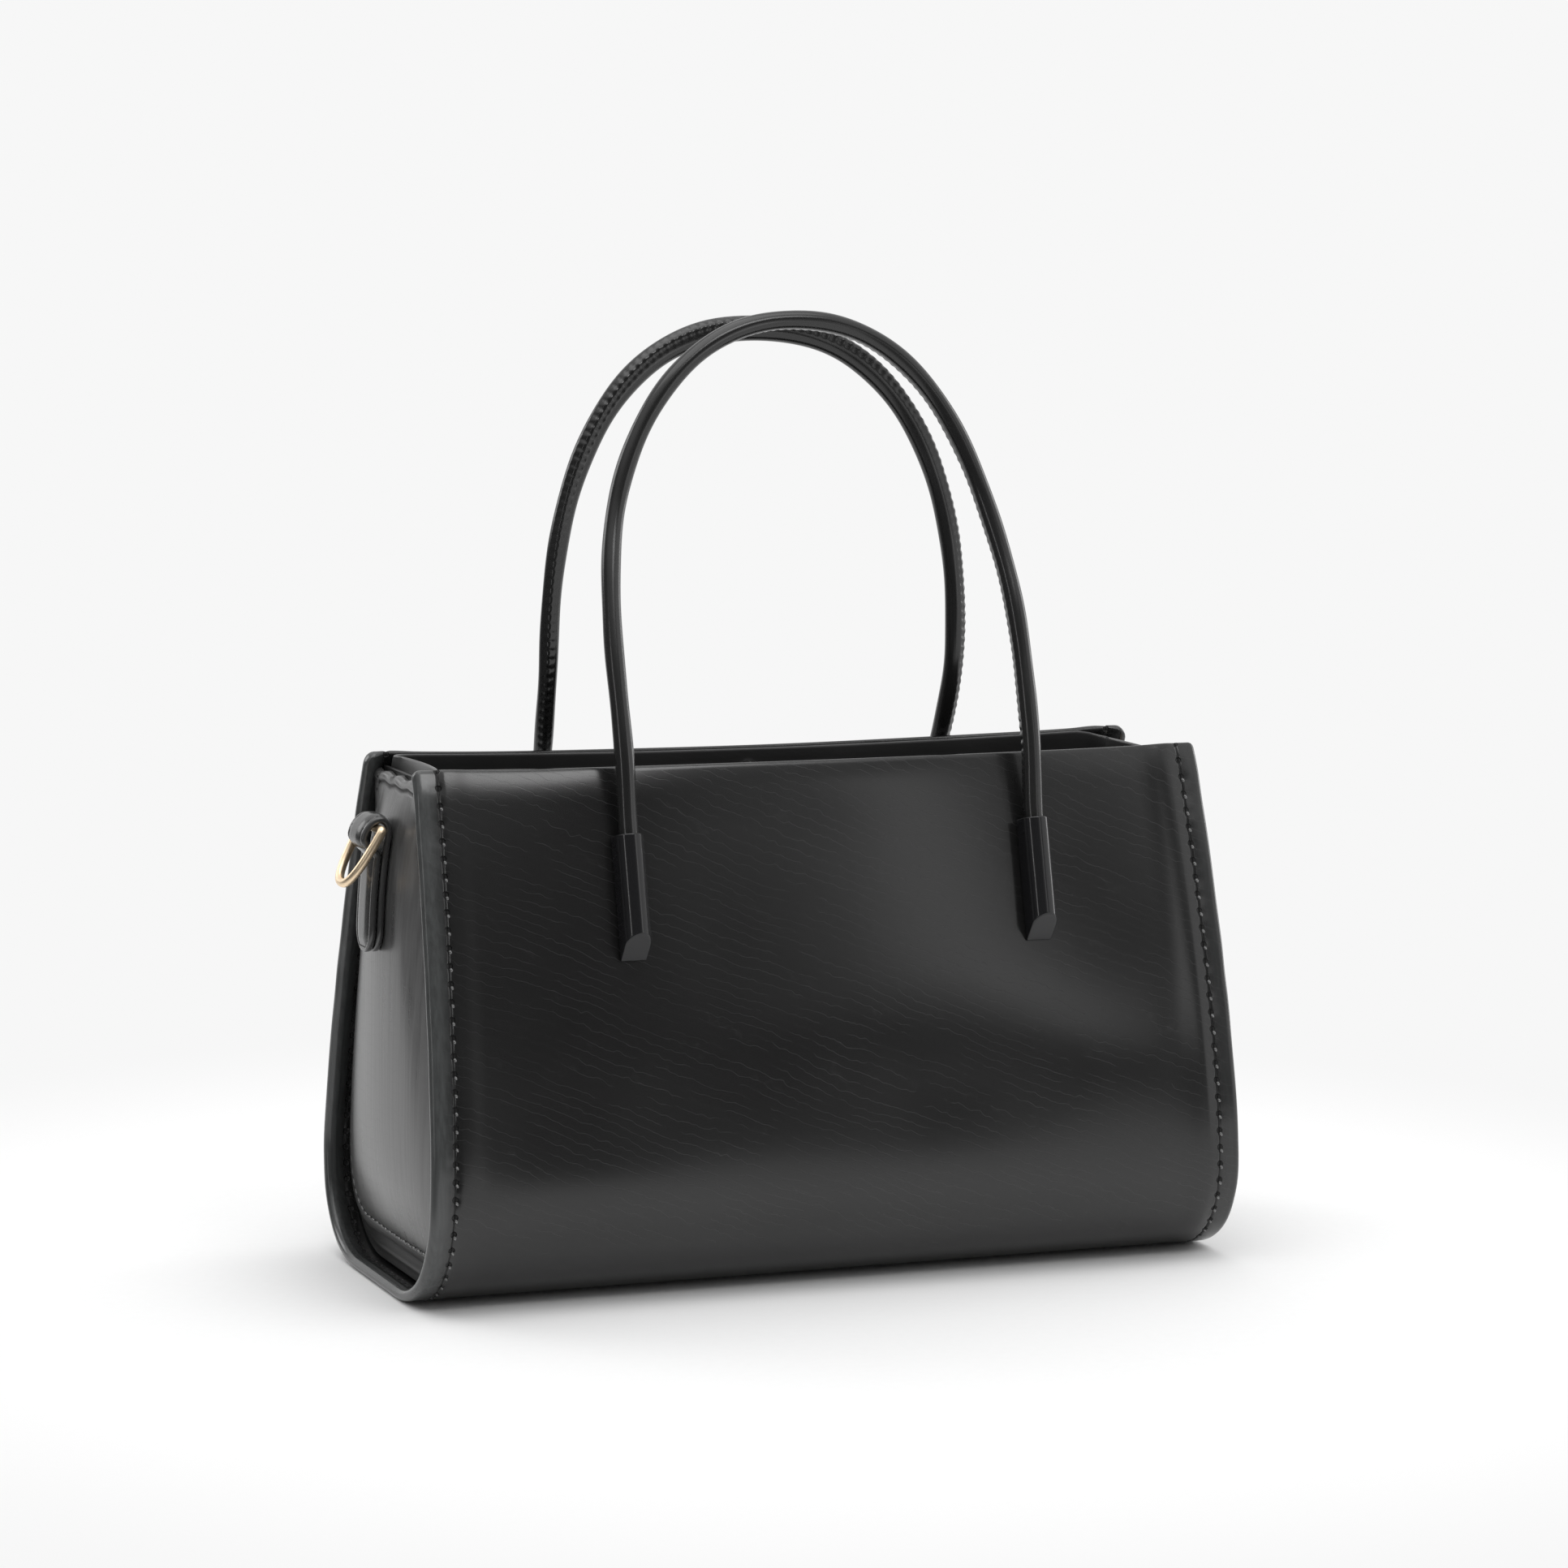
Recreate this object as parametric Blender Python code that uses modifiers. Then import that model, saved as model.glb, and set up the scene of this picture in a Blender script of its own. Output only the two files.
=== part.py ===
"""Structured two-handle tote bag in black leather, modelled in metres with +Z up.

The bag stands on the floor at z = 0 with its front towards -Y. Its body is one leather panel that wraps
front, base and back in a U, closed at each end by a gusset that sits a little inside the panel's piped
ends. Two rolled handles rise from four D-shaped metal ends screwed to the panel, and each gusset
carries a leather tab with a D-ring.
"""
import math

import bmesh
import bpy
from mathutils import Matrix, Vector

# Body
BODY_HEIGHT = 0.171
RIM_WIDTH = 0.2735
BASE_WIDTH = 0.2834
RIM_DEPTH = 0.0552
BODY_DEPTH = 0.1206
MOUTH_BOW = 0.006           # how far the middle of each rim stands out from its ends
BELLY_HEIGHT = 0.037        # where the lower corner meets the wall
BASE_FLAT = 0.042           # depth of the flat that the bag stands on
WALL_LEAN_POWER = 1.5       # 1 is a straight wall, more bends it towards the rim
CORNER_POWER = 2.2          # 2 is an elliptical corner, more makes it squarer

# Layers, from the outer face inwards
FIT = 0.0003                # gap between neighbouring layers
WRAP_THICKNESS = 0.0020
BOARD_THICKNESS = 0.0012
PLATE_THICKNESS = 0.0008
FACING_THICKNESS = 0.0012
LINING_THICKNESS = 0.0010
BASE_BOARD_THICKNESS = 0.0016

# Ends of the bag
PIPING_DIAMETER = 0.0040
GUSSET_THICKNESS = 0.0018
GUSSET_INSET_TOP = 0.0047
GUSSET_INSET_BASE = 0.0080
GUSSET_TOP_DROP = 0.0065    # from the rim down to the gusset's top edge
GUSSET_FOOT = 0.0110        # height of the gusset's bottom edge
GUSSET_CORNER = 0.012
GUSSET_BOW = 0.0075
GUSSET_CLEARANCE = 0.0006
BACKING_THICKNESS = 0.0012
BACKING_TOP_DROP = 0.0085

# Inside of the bag
FACING_HEIGHT = 0.022
LINING_OVERLAP = 0.003      # how far the lining reaches up inside the facing
LINING_EASE = 0.006         # height over which the lining moves in behind the facing
BOARD_MARGIN = 0.016        # from the wrap's end to a board's edge
MOUTH_CORNER = 0.005
SNAP_DROP = 0.0128
SNAP_RADIUS = 0.0048
SNAP_THICKNESS = 0.0014
SNAP_NOSE_RADIUS = 0.0022
SNAP_NOSE_HEIGHT = 0.0012

# Handles and their metal ends
HANDLE_SPACING = 0.141      # between the two legs of one handle
CORD_DIAMETER = 0.0064
CORE_DIAMETER = 0.0042
COVER_THICKNESS = 0.0008
END_DROP = 0.042            # from the rim's height down to the middle of a metal end, on the wrap's face
END_LENGTH = 0.040
END_WIDTH = 0.0090
END_DEPTH = 0.0093
END_CUT_HEIGHT = 0.0078     # rise of the slanted lower face
CORD_BORE_DEPTH = 0.014
SCREW_DIAMETER = 0.0020
SCREW_HEAD_DIAMETER = 0.0044
SCREW_HEAD_THICKNESS = 0.0008
SCREW_GRIP = 0.0030         # length of screw inside the metal end
SCREW_SPACING = 0.014
SCREW_CENTRE_DROP = 0.006   # below the middle of the metal end
PLATE_WIDTH = 0.010
PLATE_LENGTH = 0.026

# Shape of each handle above its hinge: where the arch springs from the legs, how high it rises, how
# far the legs spread before it, its superellipse power, and its lean towards the middle of the bag
# as height and distance
FRONT_SPRING = 0.0465
FRONT_RISE = 0.1577
FRONT_SPREAD = 0.0004
FRONT_POWER = 2.21
FRONT_LEAN = ((0.0, 0.0), (0.022, 0.0032), (0.062, 0.0159), (0.102, 0.0304), (FRONT_RISE, 0.0387))
BACK_SPRING = 0.0448
BACK_RISE = 0.1537
BACK_SPREAD = 0.0022
BACK_POWER = 2.32
BACK_LEAN = ((0.0, 0.0), (0.022, 0.0088), (0.045, 0.0146), (0.110, 0.0148), (BACK_RISE, 0.0116))

# Ring tabs and D-rings
TAB_WIDTH = 0.016
TAB_THICKNESS = 0.0022
TAB_DROP = 0.0176           # from the rim's height down to the top of the loop
TAB_LENGTH = 0.0444
LOOP_HEIGHT = 0.0135
LOOP_REACH = 0.0106
RING_WIRE = 0.0029
RING_WIDTH = 0.0212         # between wire centres
RING_DROP = 0.0204
RING_CORNER_POWER = 2.4
RING_ANGLE = math.radians(30)

# Facets
FLAT_STEPS = 1
CORNER_STEPS = 9
WALL_STEPS = 7
WIDTH_STEPS = 8
GUSSET_COLUMNS = 8
GUSSET_ROWS = 12
LEG_STEPS = 4
ARCH_STEPS = 11

BASE_T, CORNER_T, RIM_T = 1, 2, 3
END_HEIGHT = BODY_HEIGHT - END_DROP
TAB_TOP = BODY_HEIGHT - TAB_DROP
TAB_FOOT = TAB_TOP - TAB_LENGTH
CORD_RADIUS = CORD_DIAMETER / 2
BOARD_FACE = WRAP_THICKNESS + FIT
PLATE_FACE = BOARD_FACE + BOARD_THICKNESS + FIT
SCREW_SEAT = PLATE_FACE + PLATE_THICKNESS + 2 * FIT
LINING_FACE = SCREW_SEAT + SCREW_HEAD_THICKNESS + FIT
FACING_INSIDE = BOARD_FACE + FACING_THICKNESS + FIT
BASE_LINING_FACE = BOARD_FACE + BASE_BOARD_THICKNESS + FIT


# Helpers

def clear_scene():
    for old in list(bpy.data.objects):
        bpy.data.objects.remove(old, do_unlink=True)


def new_collection(name):
    collection = bpy.data.collections.new(name)
    bpy.context.scene.collection.children.link(collection)
    return collection


def finish(name, colour, roughness, metallic=0.0):
    material = bpy.data.materials.new(name)
    material.use_nodes = True
    shader = material.node_tree.nodes["Principled BSDF"]
    shader.inputs["Base Color"].default_value = (*colour, 1.0)
    shader.inputs["Roughness"].default_value = roughness
    shader.inputs["Metallic"].default_value = metallic
    material.diffuse_color = (*colour, 1.0)
    return material


def add_object(name, mesh, material, collection, smooth_angle=35):
    mesh.name = name
    mesh.materials.clear()
    mesh.materials.append(material)
    mesh.shade_smooth()
    mesh.set_sharp_from_angle(angle=math.radians(smooth_angle))
    thing = bpy.data.objects.new(name, mesh)
    collection.objects.link(thing)
    return thing


def mesh_of(bm):
    mesh = bpy.data.meshes.new("part")
    bm.to_mesh(mesh)
    bm.free()
    return mesh


def bent_sheet(columns, rows, place):
    """A grid primitive bent into shape: place(column, row) gives each vertex's position."""
    bm = bmesh.new()
    bmesh.ops.create_grid(bm, x_segments=len(columns) - 1, y_segments=len(rows) - 1, size=1.0)
    for vertex in bm.verts:
        column = round((vertex.co.x + 1) / 2 * (len(columns) - 1))
        row = round((vertex.co.y + 1) / 2 * (len(rows) - 1))
        vertex.co = place(columns[column], rows[row])
    return bm


def thicken(thing, thickness):
    """Gives an open sheet its thickness on the side away from its normals."""
    solid = thing.modifiers.new("thickness", "SOLIDIFY")
    solid.thickness = thickness
    solid.offset = -1.0
    solid.use_even_offset = True
    return thing


def cut(thing, cutter):
    hole = thing.modifiers.new("cut", "BOOLEAN")
    hole.operation = "DIFFERENCE"
    hole.solver = "EXACT"
    hole.object = cutter
    return thing


def tube_mesh(points, radii, sides_resolution, cyclic=False, caps=True):
    """A wire along points as a closed mesh, with its own radius at each point."""
    curve = bpy.data.curves.new("wire", "CURVE")
    curve.dimensions = "3D"
    curve.twist_mode = "MINIMUM"
    curve.bevel_depth = 1.0
    curve.bevel_resolution = sides_resolution
    curve.use_fill_caps = caps
    spline = curve.splines.new("POLY")
    spline.points.add(len(points) - 1)
    spline.use_cyclic_u = cyclic
    for spot, place, radius in zip(spline.points, points, radii):
        spot.co = (*place, 1.0)
        spot.radius = radius
    guide = bpy.data.objects.new("wire", curve)
    bpy.context.scene.collection.objects.link(guide)
    depsgraph = bpy.context.evaluated_depsgraph_get()
    mesh = bpy.data.meshes.new_from_object(guide.evaluated_get(depsgraph))
    bpy.data.objects.remove(guide, do_unlink=True)
    bpy.data.curves.remove(curve)
    bm = bmesh.new()
    bm.from_mesh(mesh)
    bmesh.ops.remove_doubles(bm, verts=bm.verts[:], dist=1e-6)
    bm.to_mesh(mesh)
    bm.free()
    return mesh


def cylinder_between(bm, start, end, radius, sides):
    axis = end - start
    turn = axis.to_track_quat("Z", "Y").to_matrix().to_4x4()
    place = Matrix.Translation((start + end) / 2) @ turn @ Matrix.Rotation(math.pi / sides, 4, "Z")
    bmesh.ops.create_cone(bm, cap_ends=True, segments=sides, radius1=radius, radius2=radius,
                          depth=axis.length, matrix=place)


def turned(profile, sides):
    """A profile of radius and height, from top to bottom down its outer side, turned about Z."""
    bm = bmesh.new()
    corners = [bm.verts.new((radius, 0, height)) for radius, height in profile]
    for upper, lower in zip(corners, corners[1:]):
        bm.edges.new((upper, lower))
    bmesh.ops.spin(bm, geom=bm.verts[:] + bm.edges[:], cent=(0, 0, 0), axis=(0, 0, 1),
                   angle=2 * math.pi, steps=sides, use_merge=True)
    bmesh.ops.remove_doubles(bm, verts=bm.verts[:], dist=1e-6)
    bmesh.ops.recalc_face_normals(bm, faces=bm.faces[:])
    return mesh_of(bm)


def even_steps(start, end, count):
    return [start + (end - start) * step / count for step in range(count + 1)]


# The wrap's outer face

def half_width(height):
    share = 1 - height / BODY_HEIGHT
    return (RIM_WIDTH + (BASE_WIDTH - RIM_WIDTH) * share) / 2


def outline(x, t):
    """Depth and height on the outer face: t is 0 to 1 along the flat base, to 2 round the lower
    corner and to 3 up the wall."""
    if t <= BASE_T:
        return BASE_FLAT / 2 * t, 0.0
    if t <= CORNER_T:
        angle = math.pi / 2 * (t - BASE_T)
        reach = (BODY_DEPTH - BASE_FLAT) / 2
        depth = BASE_FLAT / 2 + reach * math.sin(angle) ** (2 / CORNER_POWER)
        return depth, BELLY_HEIGHT * (1 - max(math.cos(angle), 0.0) ** (2 / CORNER_POWER))
    rise = t - CORNER_T
    rim = RIM_DEPTH / 2 + MOUTH_BOW * (1 - (2 * x / RIM_WIDTH) ** 2)
    depth = BODY_DEPTH / 2 + (rim - BODY_DEPTH / 2) * rise ** WALL_LEAN_POWER
    return depth, BELLY_HEIGHT + (BODY_HEIGHT - BELLY_HEIGHT) * rise


def wall_t(height):
    return CORNER_T + (height - BELLY_HEIGHT) / (BODY_HEIGHT - BELLY_HEIGHT)


def wall_slope(x, t):
    """Unit direction along the outer face, away from the base, as depth and height."""
    step = 0.02
    low = outline(x, max(t - step, 0.0))
    high = outline(x, min(t + step, RIM_T))
    return Vector((high[0] - low[0], high[1] - low[1])).normalized()


def inner_point(x, t, inward):
    """Depth and height of the point that lies inward of the outer face at t."""
    depth, height = outline(x, t)
    along = wall_slope(x, t)
    return depth - inward * along.y, height + inward * along.x


def layer_point(x, q, inward):
    """A point of a layer: q counts like t, towards the front where it is above 0."""
    depth, height = inner_point(x, abs(q), inward)
    return Vector((x, -math.copysign(depth, q), height))


def depth_at(x, height, inward):
    """Half the depth between two layers at a height."""
    low, high = BASE_T, RIM_T
    for _ in range(30):
        middle = (low + high) / 2
        if inner_point(x, middle, inward)[1] < height:
            low = middle
        else:
            high = middle
    return inner_point(x, low, inward)[0]


def section_stations(start, end):
    """Values of t between start and end, close together round the corner."""
    pieces = ((0.0, BASE_T, FLAT_STEPS), (BASE_T, CORNER_T, CORNER_STEPS), (CORNER_T, RIM_T, WALL_STEPS))
    marks = [start]
    for low, high, count in pieces:
        marks += [t for t in even_steps(low, high, count) if start + 0.02 < t < end - 0.02]
    return sorted({round(t, 6) for t in marks + [end]})


def both_sides(stations):
    return [-t for t in stations[::-1]] + [t for t in stations if t > 0]


def outer_height(q):
    return outline(0.0, abs(q))[1]


# Panels and boards

def build_wrap(leather, collection):
    def place(u, q):
        return layer_point(u * (half_width(outer_height(q)) - PIPING_DIAMETER - FIT), q, 0.0)

    bm = bent_sheet(even_steps(-1, 1, WIDTH_STEPS), both_sides(section_stations(0.0, RIM_T)), place)
    return thicken(add_object("outer_wrap", mesh_of(bm), leather, collection), WRAP_THICKNESS)


def build_piping(name, side, leather, collection):
    radius = PIPING_DIAMETER / 2
    stations = both_sides(section_stations(0.0, RIM_T))
    path = [layer_point(side * (half_width(outer_height(q)) - radius), q, radius) for q in stations]
    mesh = tube_mesh(path, [radius] * len(path), 2)
    return add_object(name, mesh, leather, collection)


def build_wall_board(name, side, board, collection):
    top = wall_t(BODY_HEIGHT - FACING_HEIGHT - 2 * FIT)

    def place(u, t):
        return layer_point(u * (half_width(outer_height(t)) - BOARD_MARGIN), side * t, BOARD_FACE)

    columns = even_steps(-side, side, WIDTH_STEPS)
    bm = bent_sheet(columns, section_stations(CORNER_T, top), place)
    return thicken(add_object(name, mesh_of(bm), board, collection), BOARD_THICKNESS)


def build_base_board(board, collection):
    def place(u, q):
        return layer_point(u * (half_width(0.0) - BOARD_MARGIN), q, BOARD_FACE)

    bm = bent_sheet([-1, 1], [-0.95 * BASE_T, 0.95 * BASE_T], place)
    return thicken(add_object("base_board", mesh_of(bm), board, collection), BASE_BOARD_THICKNESS)


# Gussets

def gusset_inset(height):
    share = height / BODY_HEIGHT
    return GUSSET_INSET_BASE + (GUSSET_INSET_TOP - GUSSET_INSET_BASE) * share


def gusset_half(height):
    """Half the depth between the wrap's walls at the gusset."""
    x = half_width(height) - gusset_inset(height)
    return depth_at(x, height, WRAP_THICKNESS + GUSSET_CLEARANCE)


def gusset_reach(y, height):
    """How far out in X the gusset's outer face stands, with its bow."""
    top = BODY_HEIGHT - GUSSET_TOP_DROP
    across = min(1.0, abs(y) / gusset_half(height))
    v = max(-1.0, min(1.0, 2 * (height - GUSSET_FOOT) / (top - GUSSET_FOOT) - 1))
    bow = GUSSET_BOW * (1 - across ** 2) * (1 - v ** 4)
    return half_width(height) - gusset_inset(height) + bow


def gusset_rows(foot, top):
    """Heights of the rows: the gusset and its backing share those that both of them have."""
    curve = [GUSSET_FOOT + GUSSET_CORNER * (1 - math.cos(math.pi / 2 * step / 4)) for step in range(4)]
    rows = curve + even_steps(GUSSET_FOOT + GUSSET_CORNER, BODY_HEIGHT - GUSSET_TOP_DROP, GUSSET_ROWS - 4)
    low = [foot] if foot < GUSSET_FOOT else []
    return low + [height for height in rows if height < top - 0.001] + [top]


def build_gusset(name, side, foot, top, corner, behind, thickness, material, collection):
    """A bowed end panel that fits inside the wrap, with its lower corners rounded."""
    def place(u, height):
        y = u * gusset_half(height)
        if height < foot + corner:
            drop = 1 - (height - foot) / corner
            y -= u * corner * (1 - math.sqrt(max(0.0, 1 - drop ** 2)))
        return Vector((side * (gusset_reach(y, height) - behind), side * y, height))

    columns = even_steps(-1, 1, GUSSET_COLUMNS)
    bm = bent_sheet(columns, gusset_rows(foot, top), place)
    return thicken(add_object(name, mesh_of(bm), material, collection), thickness)


# Inside of the bag

def mouth_ring(end_gap, layer, t):
    """A rounded rectangle inside the bag at t, seen from above, anticlockwise."""
    height = inner_point(0.0, t, layer)[1]
    reach = half_width(height) - gusset_inset(height) - end_gap
    corner = MOUTH_CORNER
    ring = []
    for side_x, side_y in ((1, -1), (1, 1), (-1, 1), (-1, -1)):
        inner_x = reach - corner
        inner_y = inner_point(reach, t, layer)[0] - corner
        start = math.atan2(side_y, side_x) - math.pi / 4
        for step in range(4):
            angle = start + math.pi / 2 * step / 3
            x = side_x * inner_x + corner * math.cos(angle)
            y = side_y * inner_y + corner * math.sin(angle)
            ring.append(Vector((x, y, height)))
        if side_x == side_y:
            long_run = even_steps(side_x * inner_x, -side_x * inner_x, WIDTH_STEPS)[1:-1]
            for x in long_run:
                ring.append(Vector((x, side_y * inner_point(x, t, layer)[0], height)))
    return ring


def loft(rings, close_last):
    """Faces between rings of equally many points, lowest ring first, open at the top."""
    bm = bmesh.new()
    loops = [[bm.verts.new(point) for point in ring] for ring in rings]
    for lower, upper in zip(loops, loops[1:]):
        count = len(lower)
        for index in range(count):
            following = (index + 1) % count
            bm.faces.new((lower[index], lower[following], upper[following], upper[index]))
    if close_last:
        bm.faces.new(loops[0][::-1])
    return bm


def end_stack():
    """Depth of gusset and backing together, with their gaps."""
    return GUSSET_THICKNESS + BACKING_THICKNESS + 3 * FIT


def build_facing(leather, collection):
    low = wall_t(BODY_HEIGHT - FACING_HEIGHT)
    rings = [mouth_ring(end_stack(), BOARD_FACE, t) for t in even_steps(low, RIM_T, 3)]
    bm = loft(rings, close_last=False)
    return thicken(add_object("mouth_facing", mesh_of(bm), leather, collection), FACING_THICKNESS)


def lining_layer(t):
    """How deep the lining lies: under the base board, clear of the screws, then behind the facing."""
    if t <= CORNER_T:
        share = max(0.0, t - BASE_T)
        return BASE_LINING_FACE + (LINING_FACE - BASE_LINING_FACE) * share
    ease_start = BODY_HEIGHT - FACING_HEIGHT - LINING_EASE
    share = (outer_height(t) - ease_start) / LINING_EASE
    share = max(0.0, min(1.0, share))
    return LINING_FACE + (FACING_INSIDE - LINING_FACE) * share


def build_lining(fabric, collection):
    ease_start = BODY_HEIGHT - FACING_HEIGHT - LINING_EASE
    heights = (ease_start, ease_start + LINING_EASE, ease_start + LINING_EASE + LINING_OVERLAP)
    stations = [BASE_T] + even_steps(BASE_T, CORNER_T, 6)[1:]
    stations += even_steps(CORNER_T, wall_t(heights[0]), 4)[1:]
    stations += [wall_t(height) for height in heights[1:]]
    end_gap = end_stack() + FACING_THICKNESS + FIT
    rings = [mouth_ring(end_gap, lining_layer(t), t) for t in stations]
    bm = loft(rings, close_last=True)
    return thicken(add_object("lining", mesh_of(bm), fabric, collection), LINING_THICKNESS)


def wall_frame(x, height, side, inward):
    """Axes on the wall: local Z runs up the wall, local -Y points out of the bag."""
    t = wall_t(height)
    origin = layer_point(x, side * t, inward)
    along = wall_slope(x, t)
    up = Vector((0, -side * along.x, along.y))
    inside = Vector((0, side * along.y, along.x))
    across = inside.cross(up)
    turn = Matrix((across, inside, up)).transposed().to_4x4()
    return Matrix.Translation(origin) @ turn


def build_snap(name, side, has_nose, metal, collection):
    layer = FACING_INSIDE
    if has_nose:
        profile = [(0.0, SNAP_THICKNESS + SNAP_NOSE_HEIGHT),
                   (SNAP_NOSE_RADIUS, SNAP_THICKNESS + SNAP_NOSE_HEIGHT),
                   (SNAP_NOSE_RADIUS, SNAP_THICKNESS)]
    else:
        socket = SNAP_NOSE_RADIUS + 2 * FIT
        profile = [(0.0, SNAP_THICKNESS / 2), (socket, SNAP_THICKNESS / 2), (socket, SNAP_THICKNESS)]
    edge = SNAP_THICKNESS / 4
    profile += [(SNAP_RADIUS - edge, SNAP_THICKNESS), (SNAP_RADIUS, SNAP_THICKNESS - edge),
                (SNAP_RADIUS, 0.0), (0.0, 0.0)]
    thing = add_object(name, turned(profile, 20), metal, collection)
    frame = wall_frame(0.0, BODY_HEIGHT - SNAP_DROP, side, layer)
    thing.matrix_world = frame @ Matrix.Rotation(-math.pi / 2, 4, "X")
    return thing


# Metal ends and what fixes them

def end_frame(side_x, side_y):
    return wall_frame(side_x * HANDLE_SPACING / 2, END_HEIGHT, side_y, 0.0)


def cord_offset():
    """Distance of the cord's middle in front of the wrap's face."""
    return FIT + END_DEPTH - END_WIDTH / 2


def screw_heights():
    return (SCREW_SPACING / 2 - SCREW_CENTRE_DROP, -SCREW_SPACING / 2 - SCREW_CENTRE_DROP)


def end_corners():
    """The D section of a metal end in its own X and Y, flat side towards the bag."""
    radius = END_WIDTH / 2
    back = -FIT
    points = [(radius, back), (-radius, back)]
    for step in range(9):
        angle = math.pi + math.pi * step / 8
        points.append((radius * math.cos(angle), -cord_offset() + radius * math.sin(angle)))
    return points


def end_cutter(side_x, side_y, collection):
    """The slanted lower cut and the bore for the cord, as two closed shapes in one cutter."""
    bm = bmesh.new()
    drop = END_LENGTH / 2
    bmesh.ops.create_cube(bm, size=1.0)
    lean = math.atan2(END_CUT_HEIGHT, END_DEPTH)
    size = 2 * END_DEPTH
    slab = Matrix.Translation((0, -FIT, -drop)) @ Matrix.Rotation(-lean, 4, "X")
    slab = slab @ Matrix.Translation((0, 0, -size / 2)) @ Matrix.Diagonal((size, 4 * size, size, 1))
    bmesh.ops.transform(bm, matrix=slab, verts=bm.verts[:])
    centre = Vector((0, -cord_offset(), 0))
    top = Vector((0, 0, drop))
    cylinder_between(bm, centre + top - Vector((0, 0, CORD_BORE_DEPTH)), centre + top * 1.2,
                     CORD_RADIUS + FIT, 16)
    thing = bpy.data.objects.new("end_cutter", mesh_of(bm))
    collection.objects.link(thing)
    thing.matrix_world = end_frame(side_x, side_y)
    return thing


def build_end(name, side_x, side_y, metal, cutters, collection, screw_cutter):
    curve = bpy.data.curves.new(name, "CURVE")
    curve.dimensions = "2D"
    curve.fill_mode = "BOTH"
    curve.extrude = END_LENGTH / 2
    spline = curve.splines.new("POLY")
    corners = end_corners()
    spline.points.add(len(corners) - 1)
    spline.use_cyclic_u = True
    for spot, place in zip(spline.points, corners):
        spot.co = (*place, 0.0, 1.0)
    guide = bpy.data.objects.new(name, curve)
    bpy.context.scene.collection.objects.link(guide)
    depsgraph = bpy.context.evaluated_depsgraph_get()
    mesh = bpy.data.meshes.new_from_object(guide.evaluated_get(depsgraph))
    bpy.data.objects.remove(guide, do_unlink=True)
    bpy.data.curves.remove(curve)
    bm = bmesh.new()
    bm.from_mesh(mesh)
    bmesh.ops.remove_doubles(bm, verts=bm.verts[:], dist=1e-6)
    bm.to_mesh(mesh)
    bm.free()
    thing = add_object(name, mesh, metal, collection)
    thing.matrix_world = end_frame(side_x, side_y)
    cut(thing, end_cutter(side_x, side_y, cutters))
    return cut(thing, screw_cutter)


def build_cord_end(name, side_x, side_y, leather, collection):
    bm = bmesh.new()
    top = END_LENGTH / 2
    centre = Vector((0, -cord_offset(), 0))
    cylinder_between(bm, centre + Vector((0, 0, top - CORD_BORE_DEPTH + FIT)), centre + Vector((0, 0, top)),
                     CORD_RADIUS, 12)
    thing = add_object(name, mesh_of(bm), leather, collection)
    thing.matrix_world = end_frame(side_x, side_y)
    return thing


def build_screw(name, side_x, side_y, height, steel, collection):
    shaft = SCREW_DIAMETER / 2
    head = SCREW_HEAD_DIAMETER / 2
    dome = SCREW_HEAD_THICKNESS / 3
    profile = [(0.0, SCREW_SEAT + SCREW_HEAD_THICKNESS),
               (head - dome, SCREW_SEAT + SCREW_HEAD_THICKNESS),
               (head, SCREW_SEAT + SCREW_HEAD_THICKNESS - dome),
               (head, SCREW_SEAT), (shaft, SCREW_SEAT), (shaft, shaft - SCREW_GRIP), (0.0, -SCREW_GRIP)]
    thing = add_object(name, turned(profile, 10), steel, collection)
    frame = end_frame(side_x, side_y)
    thing.matrix_world = frame @ Matrix.Translation((0, 0, height)) @ Matrix.Rotation(-math.pi / 2, 4, "X")
    return thing


def build_screw_cutter(collection):
    """Clearance holes for every screw, through wrap, board and plate into the metal end."""
    bm = bmesh.new()
    for side_x in (-1, 1):
        for side_y in (-1, 1):
            frame = end_frame(side_x, side_y)
            for height in screw_heights():
                start = frame @ Vector((0, -SCREW_GRIP - FIT, height))
                stop = frame @ Vector((0, SCREW_SEAT, height))
                cylinder_between(bm, start, stop, SCREW_DIAMETER / 2 + FIT, 10)
    thing = bpy.data.objects.new("screw_holes", mesh_of(bm))
    collection.objects.link(thing)
    return thing


def build_plate(name, side_x, side_y, steel, collection, screw_cutter):
    """A strip of steel behind the board, bent with the wall, that both screws pass through."""
    middle = END_HEIGHT - SCREW_CENTRE_DROP

    def place(u, height):
        x = side_x * HANDLE_SPACING / 2 + side_y * u * PLATE_WIDTH / 2
        return layer_point(x, side_y * wall_t(height), PLATE_FACE)

    rows = even_steps(middle - PLATE_LENGTH / 2, middle + PLATE_LENGTH / 2, 4)
    bm = bent_sheet([-1, 1], rows, place)
    thing = thicken(add_object(name, mesh_of(bm), steel, collection), PLATE_THICKNESS)
    return cut(thing, screw_cutter)


# Handles

def blended(stations, height):
    """Smooth value at a height, through stations of height and value."""
    last = len(stations) - 1
    index = max(i for i in range(last) if height >= stations[i][0] - 1e-9)
    (h0, v0), (h1, v1) = stations[index], stations[index + 1]

    def tangent(i):
        before = stations[max(i - 1, 0)]
        after = stations[min(i + 1, last)]
        return (after[1] - before[1]) / (after[0] - before[0])

    span = h1 - h0
    s = (height - h0) / span
    rise = (2 * s ** 3 - 3 * s ** 2 + 1) * v0 + (3 * s ** 2 - 2 * s ** 3) * v1
    bend = (s ** 3 - 2 * s ** 2 + s) * tangent(index) + (s ** 3 - s ** 2) * tangent(index + 1)
    return rise + span * bend


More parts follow.
